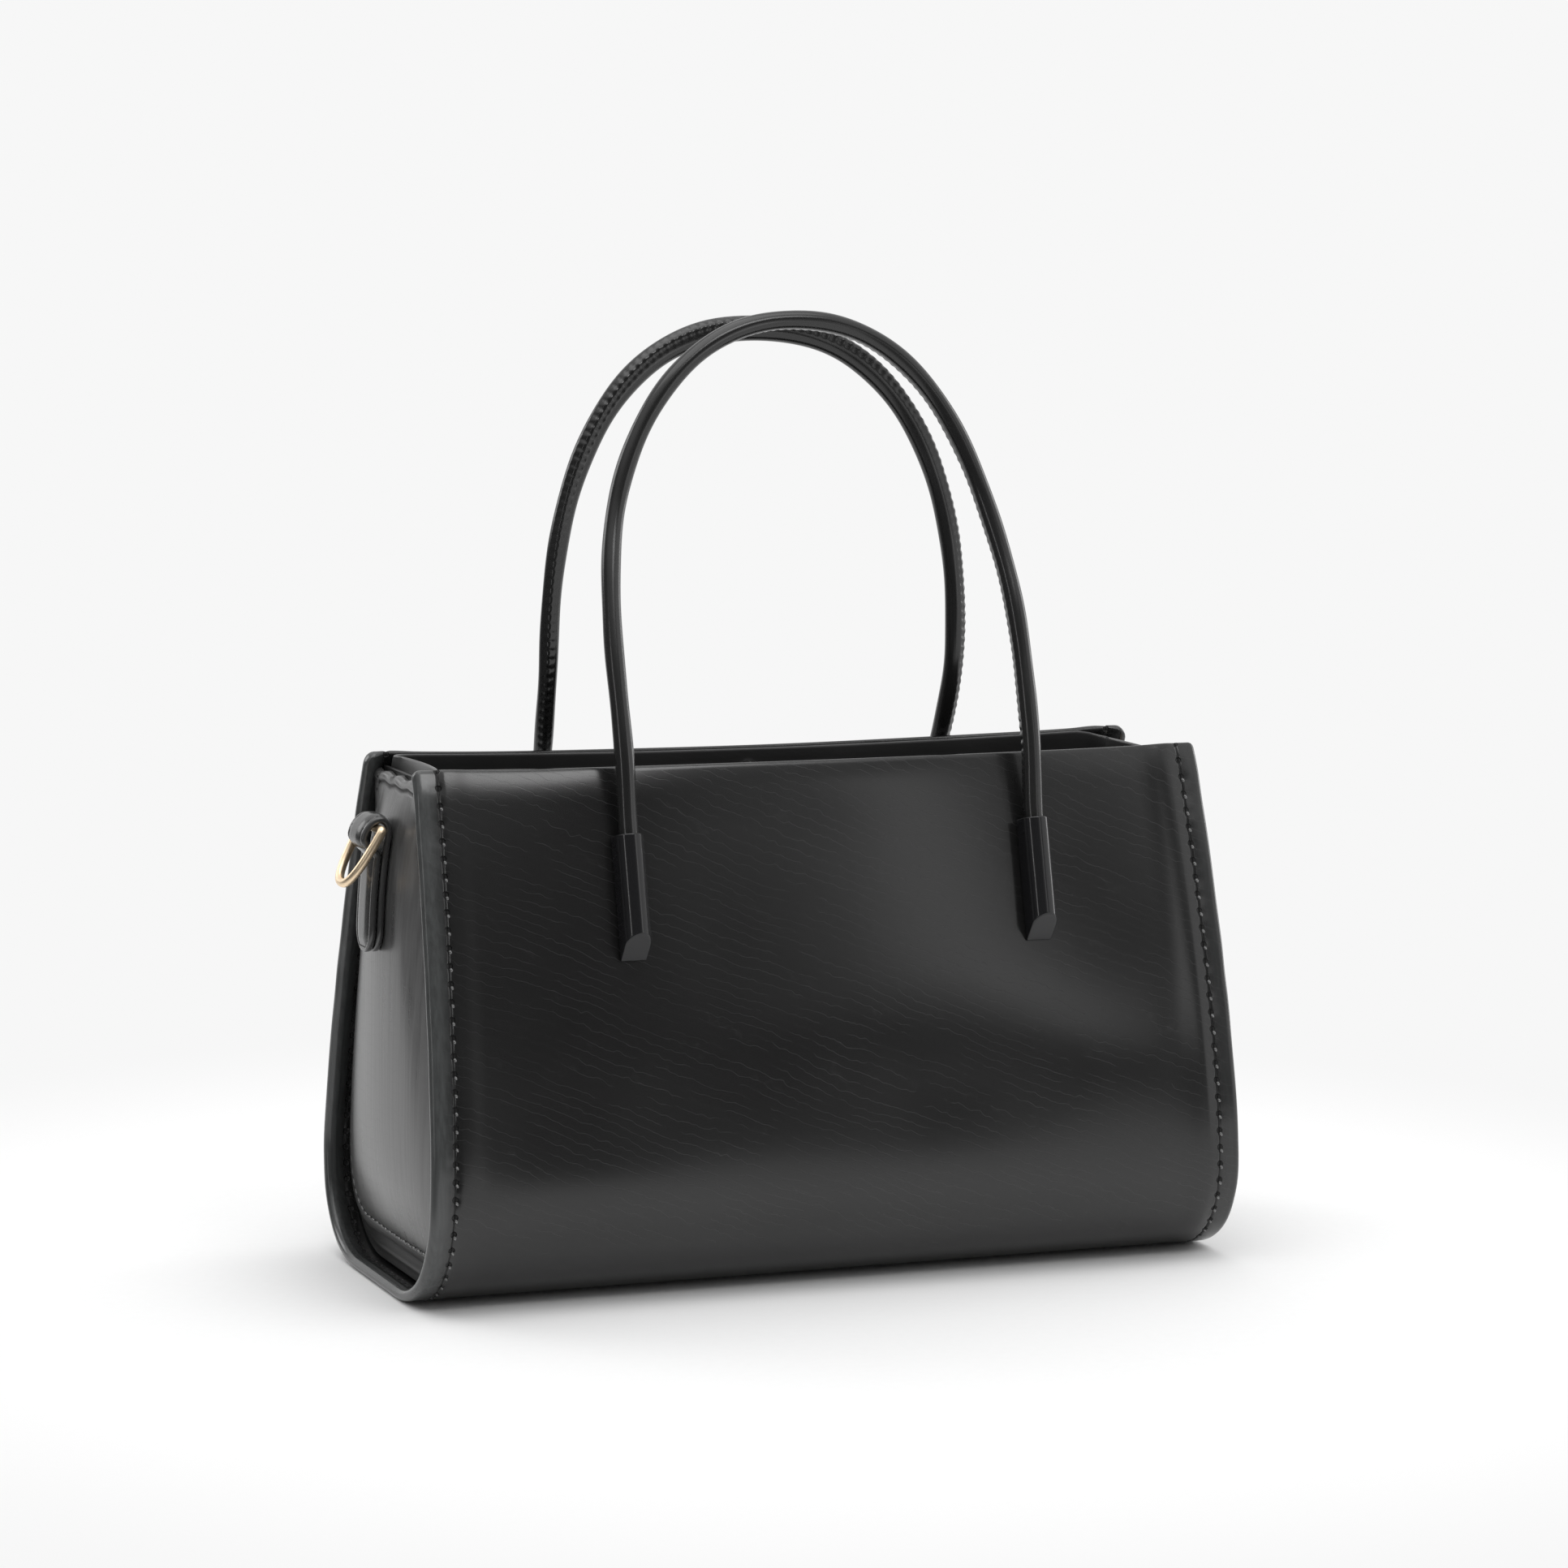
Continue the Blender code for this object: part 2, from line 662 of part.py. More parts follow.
def handle_leg(spring, rise, spread, power):
    """Half width and height above the hinge, from the hinge to the middle of the arch."""
    foot = HANDLE_SPACING / 2
    straight = []
    for step in range(LEG_STEPS):
        share = step / LEG_STEPS
        straight.append((foot + spread * math.sin(math.pi / 2 * share), spring * share))
    arch = []
    for step in range(ARCH_STEPS + 1):
        angle = math.pi / 2 * step / ARCH_STEPS
        wide = (foot + spread) * max(math.cos(angle), 0.0) ** (2 / power)
        tall = (rise - spring) * math.sin(angle) ** (2 / power)
        arch.append((wide, spring + tall))
    return straight + arch


def handle_path(side_y, spring, rise, spread, power, lean):
    """The cord's middle line from the left hinge to the right one, relative to the pivot."""
    half = []
    for wide, tall in handle_leg(spring, rise, spread, power):
        inward = blended(lean, min(tall, rise))
        half.append(Vector((wide, side_y * inward, tall)))
    left = [Vector((-point.x, point.y, point.z)) for point in half]
    return left + half[-2::-1]


def hinge_spot(side_y):
    frame = end_frame(1, side_y)
    spot = frame @ Vector((0, -cord_offset(), END_LENGTH / 2 + CORD_RADIUS + FIT))
    return Vector((0, spot.y, spot.z))


def build_cover(name, pivot, path, leather, collection):
    mesh = tube_mesh(path, [CORD_RADIUS] * len(path), 3, caps=False)
    thing = add_object(name, mesh, leather, collection, 60)
    thing.parent = pivot
    return thicken(thing, COVER_THICKNESS)


def build_core(name, pivot, path, cotton, collection):
    """The cord's core, whose ball ends bear on the metal ends and turn with the handle."""
    radius = CORE_DIAMETER / 2
    ends = []
    for point, following in ((path[0], path[1]), (path[-1], path[-2])):
        outward = (point - following).normalized()
        ball = []
        for step in range(6):
            angle = math.asin(FIT / CORD_RADIUS) + (math.radians(84) * step / 5)
            ball.append((point + outward * CORD_RADIUS * math.sin(min(angle, math.pi / 2)),
                         CORD_RADIUS * max(math.cos(angle), 0.08)))
        ends.append([(point + outward * FIT * 0.9, radius)] + ball)
    start = ends[0][::-1]
    stations = start + [(point, radius) for point in path[1:-1]] + ends[1]
    mesh = tube_mesh([point for point, _ in stations], [size for _, size in stations], 2)
    thing = add_object(name, mesh, cotton, collection, 60)
    thing.parent = pivot
    return thing


def new_pivot(name, spot, collection):
    pivot = bpy.data.objects.new(name, None)
    pivot.empty_display_size = 0.02
    pivot.location = spot
    collection.objects.link(pivot)
    return pivot


# Ring tabs and D-rings

def tab_path():
    """The strip's middle line as distance from the gusset and height, from foot up, over and down."""
    inner = FIT + TAB_THICKNESS / 2
    outer = inner + TAB_THICKNESS + FIT
    neck = TAB_TOP - LOOP_HEIGHT
    reach = LOOP_REACH - TAB_THICKNESS / 2
    crown = LOOP_HEIGHT * 0.42
    middle = TAB_TOP - TAB_THICKNESS / 2 - crown
    path = [(inner, height) for height in even_steps(TAB_FOOT, middle, 5)]
    for step in range(1, 9):
        angle = math.pi * step / 8
        path.append(((reach + inner) / 2 - (reach - inner) / 2 * math.cos(angle),
                     middle + crown * math.sin(angle)))
    fall = middle - neck
    for step in range(1, 5):
        share = step / 4
        ease = (1 + math.cos(math.pi * share)) / 2
        path.append((outer + (reach - outer) * ease, middle - fall * share))
    path += [(outer, height) for height in even_steps(neck, TAB_FOOT, 4)[1:]]
    return path


def build_tab(name, side, leather, collection):
    path = tab_path()
    tongue = TAB_WIDTH / 2

    def place(column, index):
        distance, height = path[index]
        above_foot = height - TAB_FOOT
        half = TAB_WIDTH / 2
        if above_foot < tongue:
            half *= math.sqrt(max(0.12, 1 - (1 - above_foot / tongue) ** 2))
        x = side * (gusset_reach(0.0, height) + distance + TAB_THICKNESS / 2 * outward[index])
        return Vector((x, -side * column * half, height + lift[index] * TAB_THICKNESS / 2))

    outward, lift = [], []
    for index in range(len(path)):
        before = path[max(index - 1, 0)]
        after = path[min(index + 1, len(path) - 1)]
        along = Vector((after[0] - before[0], after[1] - before[1])).normalized()
        outward.append(-along.y)
        lift.append(along.x)
    rows = list(range(len(path)))
    bm = bent_sheet([-1, -0.5, 0, 0.5, 1], rows, place)
    return thicken(add_object(name, mesh_of(bm), leather, collection), TAB_THICKNESS)


def bar_spot(side):
    """The middle of the ring's bar, under the crown of the tab's loop."""
    height = TAB_TOP - TAB_THICKNESS - RING_WIRE / 2 - 1.5 * FIT
    distance = (FIT + LOOP_REACH) / 2
    reach = gusset_reach(0.0, (TAB_TOP + height) / 2)
    return Vector((side * (reach + distance), 0, height))


def build_ring(name, pivot, side, gold, collection):
    """A D-ring: a straight bar through the tab's loop and one bent side hanging from it."""
    half = RING_WIDTH / 2
    points = [Vector((0, y, 0)) for y in even_steps(-half * 0.8, half * 0.8, 3)]
    for step in range(15):
        angle = math.pi * step / 14
        across = math.cos(angle)
        down = math.sin(angle) ** (2 / RING_CORNER_POWER) * RING_DROP
        wide = math.copysign(abs(across) ** (2 / RING_CORNER_POWER), across) * half
        points.append(Vector((0, wide, -down)))
    mesh = tube_mesh(points, [RING_WIRE / 2] * len(points), 2, cyclic=True, caps=False)
    thing = add_object(name, mesh, gold, collection, 60)
    thing.parent = pivot
    thing.rotation_euler = (0, side * -RING_ANGLE, 0)
    return thing


# The whole bag

def build_bag():
    clear_scene()
    bag = new_collection("tote_bag")
    cutters = new_collection("cutters")

    leather = finish("black_leather", (0.020, 0.020, 0.020), 0.32)
    side_leather = finish("gusset_leather", (0.030, 0.030, 0.030), 0.36)
    lining_cloth = finish("lining_cloth", (0.012, 0.012, 0.012), 0.85)
    board = finish("stiffener_board", (0.16, 0.12, 0.08), 0.90)
    cotton = finish("cotton_cord", (0.55, 0.52, 0.46), 0.90)
    black_metal = finish("black_metal", (0.010, 0.010, 0.010), 0.12, 0.6)
    gold = finish("pale_gold", (0.86, 0.65, 0.40), 0.25, 1.0)
    steel = finish("bright_steel", (0.60, 0.60, 0.60), 0.30, 1.0)

    screw_cutter = build_screw_cutter(cutters)
    cut(build_wrap(leather, bag), screw_cutter)
    cut(build_wall_board("front_board", 1, board, bag), screw_cutter)
    cut(build_wall_board("back_board", -1, board, bag), screw_cutter)
    build_base_board(board, bag)
    build_facing(leather, bag)
    build_lining(lining_cloth, bag)
    build_snap("snap_stud", 1, True, steel, bag)
    build_snap("snap_socket", -1, False, steel, bag)

    gusset_top = BODY_HEIGHT - GUSSET_TOP_DROP
    backing_foot = WRAP_THICKNESS + GUSSET_CLEARANCE + FIT
    backing_top = BODY_HEIGHT - BACKING_TOP_DROP
    for word, side in (("left", -1), ("right", 1)):
        build_piping(word + "_piping", side, leather, bag)
        build_gusset(word + "_gusset", side, GUSSET_FOOT, gusset_top, GUSSET_CORNER, 0.0,
                     GUSSET_THICKNESS, side_leather, bag)
        build_gusset(word + "_gusset_backing", side, backing_foot, backing_top, GUSSET_CORNER / 6,
                     GUSSET_THICKNESS + 2 * FIT, BACKING_THICKNESS, leather, bag)
        build_tab(word + "_ring_tab", side, leather, bag)
        ring_pivot = new_pivot(word + "_ring_pivot", bar_spot(side), bag)
        build_ring(word + "_ring", ring_pivot, side, gold, bag)

    front_shape = (FRONT_SPRING, FRONT_RISE, FRONT_SPREAD, FRONT_POWER, FRONT_LEAN)
    back_shape = (BACK_SPRING, BACK_RISE, BACK_SPREAD, BACK_POWER, BACK_LEAN)
    for word, side_y, shape in (("front", 1, front_shape), ("back", -1, back_shape)):
        pivot = new_pivot(word + "_handle_pivot", hinge_spot(side_y), bag)
        path = handle_path(side_y, *shape)
        build_cover(word + "_handle_cover", pivot, path, leather, bag)
        build_core(word + "_handle_core", pivot, path, cotton, bag)
        for hand, side_x in (("left", -1), ("right", 1)):
            label = word + "_" + hand
            build_end(label + "_end", side_x, side_y, black_metal, cutters, bag, screw_cutter)
            build_cord_end(label + "_cord_end", side_x, side_y, leather, bag)
            build_plate(label + "_plate", side_x, side_y, steel, bag, screw_cutter)
            for level, height in zip(("upper", "lower"), screw_heights()):
                build_screw(label + "_" + level + "_screw", side_x, side_y, height, steel, bag)

    for cutter in cutters.objects:
        cutter.hide_render = True
        cutter.display_type = "WIRE"


build_bag()
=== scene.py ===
# %% [markdown]
# # A black leather bag with two rolled handles
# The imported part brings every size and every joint. This script leaves it where it is and lays the real
# surfaces over it: leather with its grain and creases, pierced seams, rolled handles and gold rings.
# Everything is in metres, the front of the bag looks towards -Y, and it stands on z = 0.

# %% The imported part
import math

import bmesh
import bpy
import numpy as np
from mathutils import Matrix, Vector


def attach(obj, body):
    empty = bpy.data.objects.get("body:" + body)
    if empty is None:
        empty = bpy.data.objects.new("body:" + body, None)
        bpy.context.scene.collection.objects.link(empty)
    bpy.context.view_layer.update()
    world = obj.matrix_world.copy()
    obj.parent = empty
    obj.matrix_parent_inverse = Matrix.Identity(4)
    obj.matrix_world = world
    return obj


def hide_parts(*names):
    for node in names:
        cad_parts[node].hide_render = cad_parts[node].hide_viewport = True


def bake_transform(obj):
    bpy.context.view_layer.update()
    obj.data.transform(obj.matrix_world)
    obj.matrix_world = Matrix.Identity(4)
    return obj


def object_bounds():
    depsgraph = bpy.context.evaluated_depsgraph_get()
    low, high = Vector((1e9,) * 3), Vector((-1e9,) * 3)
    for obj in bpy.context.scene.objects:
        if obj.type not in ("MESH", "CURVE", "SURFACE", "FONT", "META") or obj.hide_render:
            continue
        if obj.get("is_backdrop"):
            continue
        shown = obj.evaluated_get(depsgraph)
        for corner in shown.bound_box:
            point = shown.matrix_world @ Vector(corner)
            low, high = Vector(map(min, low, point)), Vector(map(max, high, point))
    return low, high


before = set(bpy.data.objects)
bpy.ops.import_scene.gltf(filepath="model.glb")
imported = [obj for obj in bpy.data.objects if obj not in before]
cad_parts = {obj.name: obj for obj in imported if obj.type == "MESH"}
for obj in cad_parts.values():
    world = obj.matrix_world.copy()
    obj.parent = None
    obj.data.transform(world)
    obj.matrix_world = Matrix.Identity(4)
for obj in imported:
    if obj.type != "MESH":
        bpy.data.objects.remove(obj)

SIDES = (("left", -1), ("right", 1))


def show_box(title, box):
    print(title, [[round(value * 1000, 1) for value in corner] for corner in box])


def add_object(name, data):
    made = bpy.data.objects.new(name, data)
    bpy.context.scene.collection.objects.link(made)
    return made


def mesh_from(name, bm):
    mesh = bpy.data.meshes.new(name)
    bm.to_mesh(mesh)
    bm.free()
    return mesh


cad_box = [list(corner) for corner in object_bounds()]
show_box("CAD box, mm:", cad_box)

# %% [markdown]
# ## Camera
# A photograph's perspective comes from where the camera stands, and the lens only decides how much of
# it is kept. The camera stands 1.7 m away, a little above the bag and 22 degrees round to its left,
# with the long lens of a product picture. The small roll levels the rim as the picture shows it.

# %% Camera
CAMERA_PLACE = Vector((-0.6078, -1.5261, 0.3652))
CAMERA_AIM = Vector((-0.0002, 0.0, 0.1579))
CAMERA_ROLL = math.radians(0.63)
FOCAL_PIXELS = 6182
PICTURE_PIXELS = 1932
SENSOR = 36.0


def place_camera():
    lens = bpy.data.cameras.new("camera")
    lens.sensor_width = SENSOR
    lens.sensor_fit = "HORIZONTAL"
    lens.lens = FOCAL_PIXELS / PICTURE_PIXELS * SENSOR
    lens.clip_start = 0.05
    camera = add_object("camera", lens)
    turn = (CAMERA_AIM - CAMERA_PLACE).to_track_quat("-Z", "Y").to_matrix().to_4x4()
    camera.matrix_world = Matrix.Translation(CAMERA_PLACE) @ turn @ Matrix.Rotation(CAMERA_ROLL, 4, "Z")
    bpy.context.scene.camera = camera
    return camera


camera = place_camera()
print("lens, mm:", round(camera.data.lens, 1))

# %% [markdown]
# ## Mixing a finish
# A procedural material is a small calculation. Writing it as sums keeps it readable, so a Signal wraps
# one socket, and adding or multiplying Signals adds the Math nodes. Every other node comes from one
# method that takes its type, its settings, what its input sockets hold, and the output that is wanted.

# %% Signals and recipes
def grey(level):
    return (level, level, level, 1.0)


class Signal:
    """One socket of a recipe. Arithmetic on it adds Math nodes."""

    def __init__(self, recipe, socket):
        self.recipe = recipe
        self.socket = socket

    def maths(self, operation, *values):
        sockets = dict(enumerate((self, *values)))
        return self.recipe.node("Math", {"operation": operation}, sockets)

    def __add__(self, other):
        return self.maths("ADD", other)

    def __sub__(self, other):
        return self.maths("SUBTRACT", other)

    def __rsub__(self, other):
        return self.maths("MULTIPLY_ADD", -1.0, other)

    def __mul__(self, other):
        return self.maths("MULTIPLY", other)

    def __pow__(self, other):
        return self.maths("POWER", other)

    __radd__ = __add__
    __rmul__ = __mul__


class Recipe:
    """The nodes of one material, or of the world."""

    def __init__(self, tree):
        self.tree = tree

    def put(self, socket, value):
        if isinstance(value, Signal):
            self.tree.links.new(value.socket, socket)
        else:
            socket.default_value = value

    def node(self, kind, settings=None, sockets=None, output=0):
        made = self.tree.nodes.new("ShaderNode" + kind)
        for word, value in (settings or {}).items():
            setattr(made, word, value)
        for word, value in (sockets or {}).items():
            self.put(made.inputs[word], value)
        return Signal(self, made.outputs[output])

    def smooth(self, value, low, high):
        """0 below low, 1 above high, and a soft step between them."""
        sockets = {"Value": value, "From Min": low, "From Max": high}
        return self.node("MapRange", {"interpolation_type": "SMOOTHSTEP"}, sockets)

    def noise(self, where, scale, detail=2.0):
        sockets = {"Vector": where, "Scale": scale, "Detail": detail}
        return self.node("TexNoise", None, sockets, "Fac")

    def mix(self, factor, first, second):
        """Colours are mixed here, because a Math node would turn them grey."""
        return self.node("Mix", {"data_type": "RGBA"}, {0: factor, 6: first, 7: second}, 2)

    def vector(self, operation, *places, output="Value"):
        return self.node("VectorMath", {"operation": operation}, dict(enumerate(places)), output)

    def axis(self, where, name):
        return self.node("SeparateXYZ", None, {0: where}, name)

    def place(self):
        """Where a point lies on its own object."""
        return self.node("TexCoord", None, None, "Object")

    def ray(self, kind):
        return self.node("LightPath", None, None, f"Is {kind} Ray")

    def mapped(self, where, cell, turn=(0, 0, 0)):
        """Turns a place, then measures it in cells, so cell is a size in metres along each turned axis."""
        return self.node("Mapping", {"vector_type": "TEXTURE"},
                         {"Vector": where, "Rotation": turn, "Scale": cell})

    def value(self, name, output="Fac"):
        """What the mesh carries under this name at each vertex."""
        return self.node("Attribute", {"attribute_name": name}, None, output)


class Finish(Recipe):
    """A material, with what is the same all over set on its shader's own sockets."""

    def __init__(self, name, **steady):
        self.material = bpy.data.materials.new(name)
        self.material.use_nodes = True
        super().__init__(self.material.node_tree)
        self.shader = self.tree.nodes["Principled BSDF"]
        for word, value in steady.items():
            self.wear(word.replace("_", " "), value)

    def wear(self, socket, value):
        self.put(self.shader.inputs[socket], value)

    def relief(self, millimetres):
        """Height in millimetres, turned into the way the surface catches light."""
        sockets = {"Height": millimetres, "Distance": 0.001, "Strength": 1.0}
        self.wear("Normal", self.node("Bump", None, sockets, "Normal"))


# %% [markdown]
# ## Studio
# Black leather shows hardly any colour of its own, and what is seen on it is the room. So the room is
# planned by what the bag should mirror: a white floor and background, which brighten the lower third
# and the end panel, soft light from above for the rolled edges, and a dim room behind the camera, which
# keeps the front face dark.
#
# The floor has two jobs. The camera sees a soft shadow close to the bag and plain white beyond it. The
# leather mirrors plain white almost up to the bag, but a dark floor far out on the left, which is what
# shades the end panel towards its top.

# %% Floor
WHITE = grey(0.93)
FLOOR_SIZE = 14.0
SHADOW_REACH = (0.15, 0.45)
MIRRORED_REACH = (0.07, 0.20)
MIRRORED_STRETCH = (0.45, 1.0, 1.0)
LEFTWARDS = (-0.906, -0.420, 0.0)
DARK_LEFT = (0.22, 0.42)
DARK_FLOOR = grey(0.10)


def make_floor():
    pale = Finish("pale_floor", Roughness=0.85)
    where = pale.node("NewGeometry", None, None, "Position")
    pale.wear("Base Color", pale.mix(pale.noise(where, 300, 3), WHITE, grey(0.96)))
    squeezed = pale.vector("MULTIPLY", where, MIRRORED_STRETCH, output="Vector")
    seen = (pale.ray("Camera") + pale.ray("Transmission")).maths("MINIMUM", 1.0)
    mirrored = pale.ray("Glossy")
    dark = pale.smooth(pale.vector("DOT_PRODUCT", where, LEFTWARDS), *DARK_LEFT) * mirrored
    plain = pale.node("Emission", None, {"Color": pale.mix(dark, WHITE, DARK_FLOOR), "Strength": 1.0})
    share = pale.smooth(pale.vector("LENGTH", where), *SHADOW_REACH) * seen
    share = share + pale.smooth(pale.vector("LENGTH", squeezed), *MIRRORED_REACH) * mirrored
    lit = Signal(pale, pale.shader.outputs[0])
    both = pale.node("MixShader", None, {0: share.maths("MINIMUM", 1.0), 1: lit, 2: plain})
    pale.put(pale.tree.nodes["Material Output"].inputs["Surface"], both)
    bm = bmesh.new()
    bmesh.ops.create_grid(bm, x_segments=4, y_segments=4, size=FLOOR_SIZE / 2)
    floor = add_object("studio_floor", mesh_from("studio_floor", bm))
    floor.data.materials.append(pale.material)
    floor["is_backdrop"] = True


make_floor()

# %% [markdown]
# The room is bright, except for a low dim part in front of the bag and on its left. Large softboxes give
# the even light. The three small cards stand close to the bag, so that each part of the flat front face
# mirrors them at another angle. That draws the soft bright patch on its right half.

# %% Room and lamps
ROOM_LEVEL = 0.90
DIM_SHARE = 0.88
DIM_HEIGHT = (0.44, 0.75)
FORWARDS = (-0.766, -0.643, 0.0)
# Each lamp: its name, where it stands, what it is aimed at, its width, its height and its power in watts.
LAMPS = (("top_softbox", (-0.15, -0.1, 1.5), (0.0, 0.0, 0.1), 1.3, 1.3, 7.0),
         ("left_softbox", (-1.1, 1.05, 0.8), (0.0, 0.0, 0.1), 0.7, 0.7, 4.2),
         ("high_front_softbox", (0.37, -1.48, 1.75), (0.0, 0.0, 0.17), 0.80, 0.50, 5.6),
         ("near_card", (0.258, -0.50, 0.31), (0.050, -0.04, 0.13), 0.075, 0.22, 0.050),
         ("near_low_card", (0.300, -0.50, 0.185), (0.060, -0.04, 0.10), 0.08, 0.06, 0.014),
         ("near_wide_card", (0.205, -0.50, 0.29), (0.030, -0.04, 0.13), 0.16, 0.26, 0.026),
         ("right_side_softbox", (1.55, 0.20, 0.50), (0.0, 0.0, 0.15), 0.5, 0.9, 3.5),
         ("left_front_strip", (-1.80, -0.92, 0.60), (0.0, 0.0, 0.15), 0.14, 1.1, 2.0))


def make_room():
    world = bpy.data.worlds.new("studio")
    world.use_nodes = True
    bpy.context.scene.world = world
    room = Recipe(world.node_tree)
    way = room.node("TexCoord", None, None, "Generated")
    front_side = room.smooth(room.vector("DOT_PRODUCT", way, FORWARDS), 0.0, 0.15)
    left_side = room.smooth(room.vector("DOT_PRODUCT", way, LEFTWARDS), -0.10, 0.25)
    dim = front_side.maths("MAXIMUM", left_side) * (1 - room.smooth(room.axis(way, "Z"), *DIM_HEIGHT))
    level = ROOM_LEVEL * (1 - DIM_SHARE * dim)
    shade = room.node("CombineXYZ", None, {0: level, 1: level, 2: level})
    background = world.node_tree.nodes["Background"]
    room.put(background.inputs["Color"], room.mix(room.ray("Camera"), shade, WHITE))


def make_lamp(name, place, aim, width, height, power):
    light = bpy.data.lights.new(name, "AREA")
    light.shape, light.size, light.size_y, light.energy = "RECTANGLE", width, height, power
    lamp = add_object(name, light)
    lamp.visible_camera = False
    lamp.location = place
    lamp.rotation_euler = (Vector(aim) - Vector(place)).to_track_quat("-Z", "Y").to_euler()


make_room()
for lamp in LAMPS:
    make_lamp(*lamp)
bpy.context.scene.view_settings.view_transform = "Standard"

# %% [markdown]
# ## Finishes
# The leather is smooth, black and polished, with fine creases that run slanting down to the right, as
# on hide that was pulled while it dried. Each family of creases counts bands across the slant, bends
# them with a noise, keeps a thin line of every band and breaks it up with a second, stretched noise.
# Under them lies a grain too fine to see, which only softens the shine. Holes and folds get painted
# shade, and the rolled ends are painted a little paler, partly as rub wear and partly as painted sheen.

# %% Leather
SLANT = 22.0
CREASE_SPACING = 0.0031
WIDE_SPACING = 0.0100


def creases(skin, slant, spacing, keep):
    """Thin broken lines, 0 to 1. More of each line is kept as keep grows."""
    turn = (0, math.radians(slant), 0)

    def blotches(size):
        return skin.noise(skin.mapped(skin.where, size, turn), 1.0, 1)

    rise = skin.axis(skin.mapped(skin.where, (1, 1, spacing), turn), "Z")
    bent = rise + blotches((0.050, 0.050, 0.030)) * 3.0 + blotches((0.0036, 0.0036, 0.0060)) * 0.80
    line = 1 - skin.smooth(bent.maths("PINGPONG", 0.5), 0.0, 0.06)
    return line * skin.smooth(blotches((0.016, 0.016, 0.0026)), 0.60 - keep, 0.80 - keep)


def leather(name, tone, roughness, crease=0.005, place=None, grain=0.003, shine=0.6, creased=1.0):
    """crease and grain are heights in millimetres, and creased is how strongly the creases show."""
    skin = Finish(name, Specular_IOR_Level=shine)
    skin.where = skin.value(place, "Vector") if place else skin.place()
    patches = skin.smooth(skin.noise(skin.where, 22, 2), 0.30, 0.60) * 0.5 + 0.5
    fine = creases(skin, SLANT, CREASE_SPACING, 0.29)
    wide = creases(skin, SLANT + 11, WIDE_SPACING, 0.08)
    lines = (fine * patches + wide * 0.4) * creased
    cloudy = skin.noise(skin.where, 14, 3)
    skin.height = lines * -crease + skin.noise(skin.where, 1500, 2) * grain + skin.noise(skin.where, 90, 3) * 0.02
    plain = skin.mix(skin.smooth(cloudy, 0.3, 0.7), grey(tone * 0.85), grey(tone * 1.2))
    skin.tone = skin.mix(lines * 0.60, plain, grey(tone + 0.022))
    skin.polish = (cloudy - 0.5) * 0.08 + lines * 0.06 + roughness
    return skin


def worn(skin):
    """Connects a leather once its seams have been added to it."""
    skin.wear("Base Color", skin.tone)
    skin.wear("Roughness", skin.polish)
    skin.relief(skin.height)
    return skin.material


def darken(skin, share):
    """Shade in a hole or a deep fold, which light hardly reaches."""
    skin.tone = skin.mix(share, skin.tone, grey(0.0012))
    skin.polish = skin.polish + share * 0.5


def pierce(skin, run, away, pitch, radius, depth):
    """Round stitch holes: run counts along the seam and away is the distance from it, in metres."""
    step = run.maths("PINGPONG", pitch / 2)
    reach = (step * step + away * away) ** 0.5
    hole = 1 - skin.smooth(reach, radius * 0.75, radius * 1.15)
    darken(skin, hole)
    skin.height = skin.height - hole * depth


SEAM_PITCH = 0.0056
GUSSET_PITCH = 0.0050
GUSSET_SEAM = 0.0041
RUB_AND_SHEEN_TONE = (0.066, 0.069, 0.069, 1)

wrap_skin = leather("black_leather_wrap", 0.010, 0.20)
from_seam = wrap_skin.value("seam")
# Painted shade along the pressed groove of the seam line.
darken(wrap_skin, (1 - wrap_skin.smooth(from_seam.maths("ABSOLUTE"), 0.0001, 0.0003)) * 0.6)
pierce(wrap_skin, wrap_skin.value("run"), from_seam, SEAM_PITCH, 0.00095, 0.8)
# The rolls are painted paler in streaks: partly rub wear, partly painted sheen.
streaks = wrap_skin.noise(wrap_skin.mapped(wrap_skin.where, (0.0012, 0.0012, 0.030)), 1.0, 2)
rubbed = wrap_skin.value("rubbed") * (0.35 + 0.8 * streaks)
wrap_skin.tone = wrap_skin.mix(rubbed, wrap_skin.tone, RUB_AND_SHEEN_TONE)
wrap_leather = worn(wrap_skin)

# %% [markdown]
# The end panels are cut from the same hide with the grain upright, so they carry fine vertical streaks
# that only show because they are seen at a glancing angle. The padded straps and the rolled handles are
# pulled tight, so their creases hardly show.

# %% Gusset, strap and handle leather
# Painted light: the end panels are the same black hide, but their base colour is set about five times the wrap's,
# standing for the bright floor that they mirror.
GUSSET_PAINTED_LIT_TONE = 0.054

gusset_skin = leather("gusset_leather_streaked", GUSSET_PAINTED_LIT_TONE, 0.30, crease=0.004, shine=0.9)
fibres = gusset_skin.noise(gusset_skin.mapped(gusset_skin.where, (0.0020, 0.0020, 0.060)), 1.0, 3)
gusset_skin.height = gusset_skin.height + fibres * 0.070
gusset_skin.tone = gusset_skin.mix(gusset_skin.smooth(fibres, 0.35, 0.65) * 0.6, gusset_skin.tone,
                                   grey(GUSSET_PAINTED_LIT_TONE * 1.8))
gusset_skin.polish = gusset_skin.polish + (fibres - 0.5) * 0.16
from_border = gusset_skin.value("end")
# Painted shade in the fold under the lip and in a band along the border, beside the rolls.
darken(gusset_skin, gusset_skin.value("shade"))
darken(gusset_skin, (1 - gusset_skin.smooth(from_border, 0.0030, 0.0037)) * 0.85)
pierce(gusset_skin, gusset_skin.value("run"), from_border - GUSSET_SEAM, GUSSET_PITCH, 0.0007, 0.6)
gusset_leather = worn(gusset_skin)

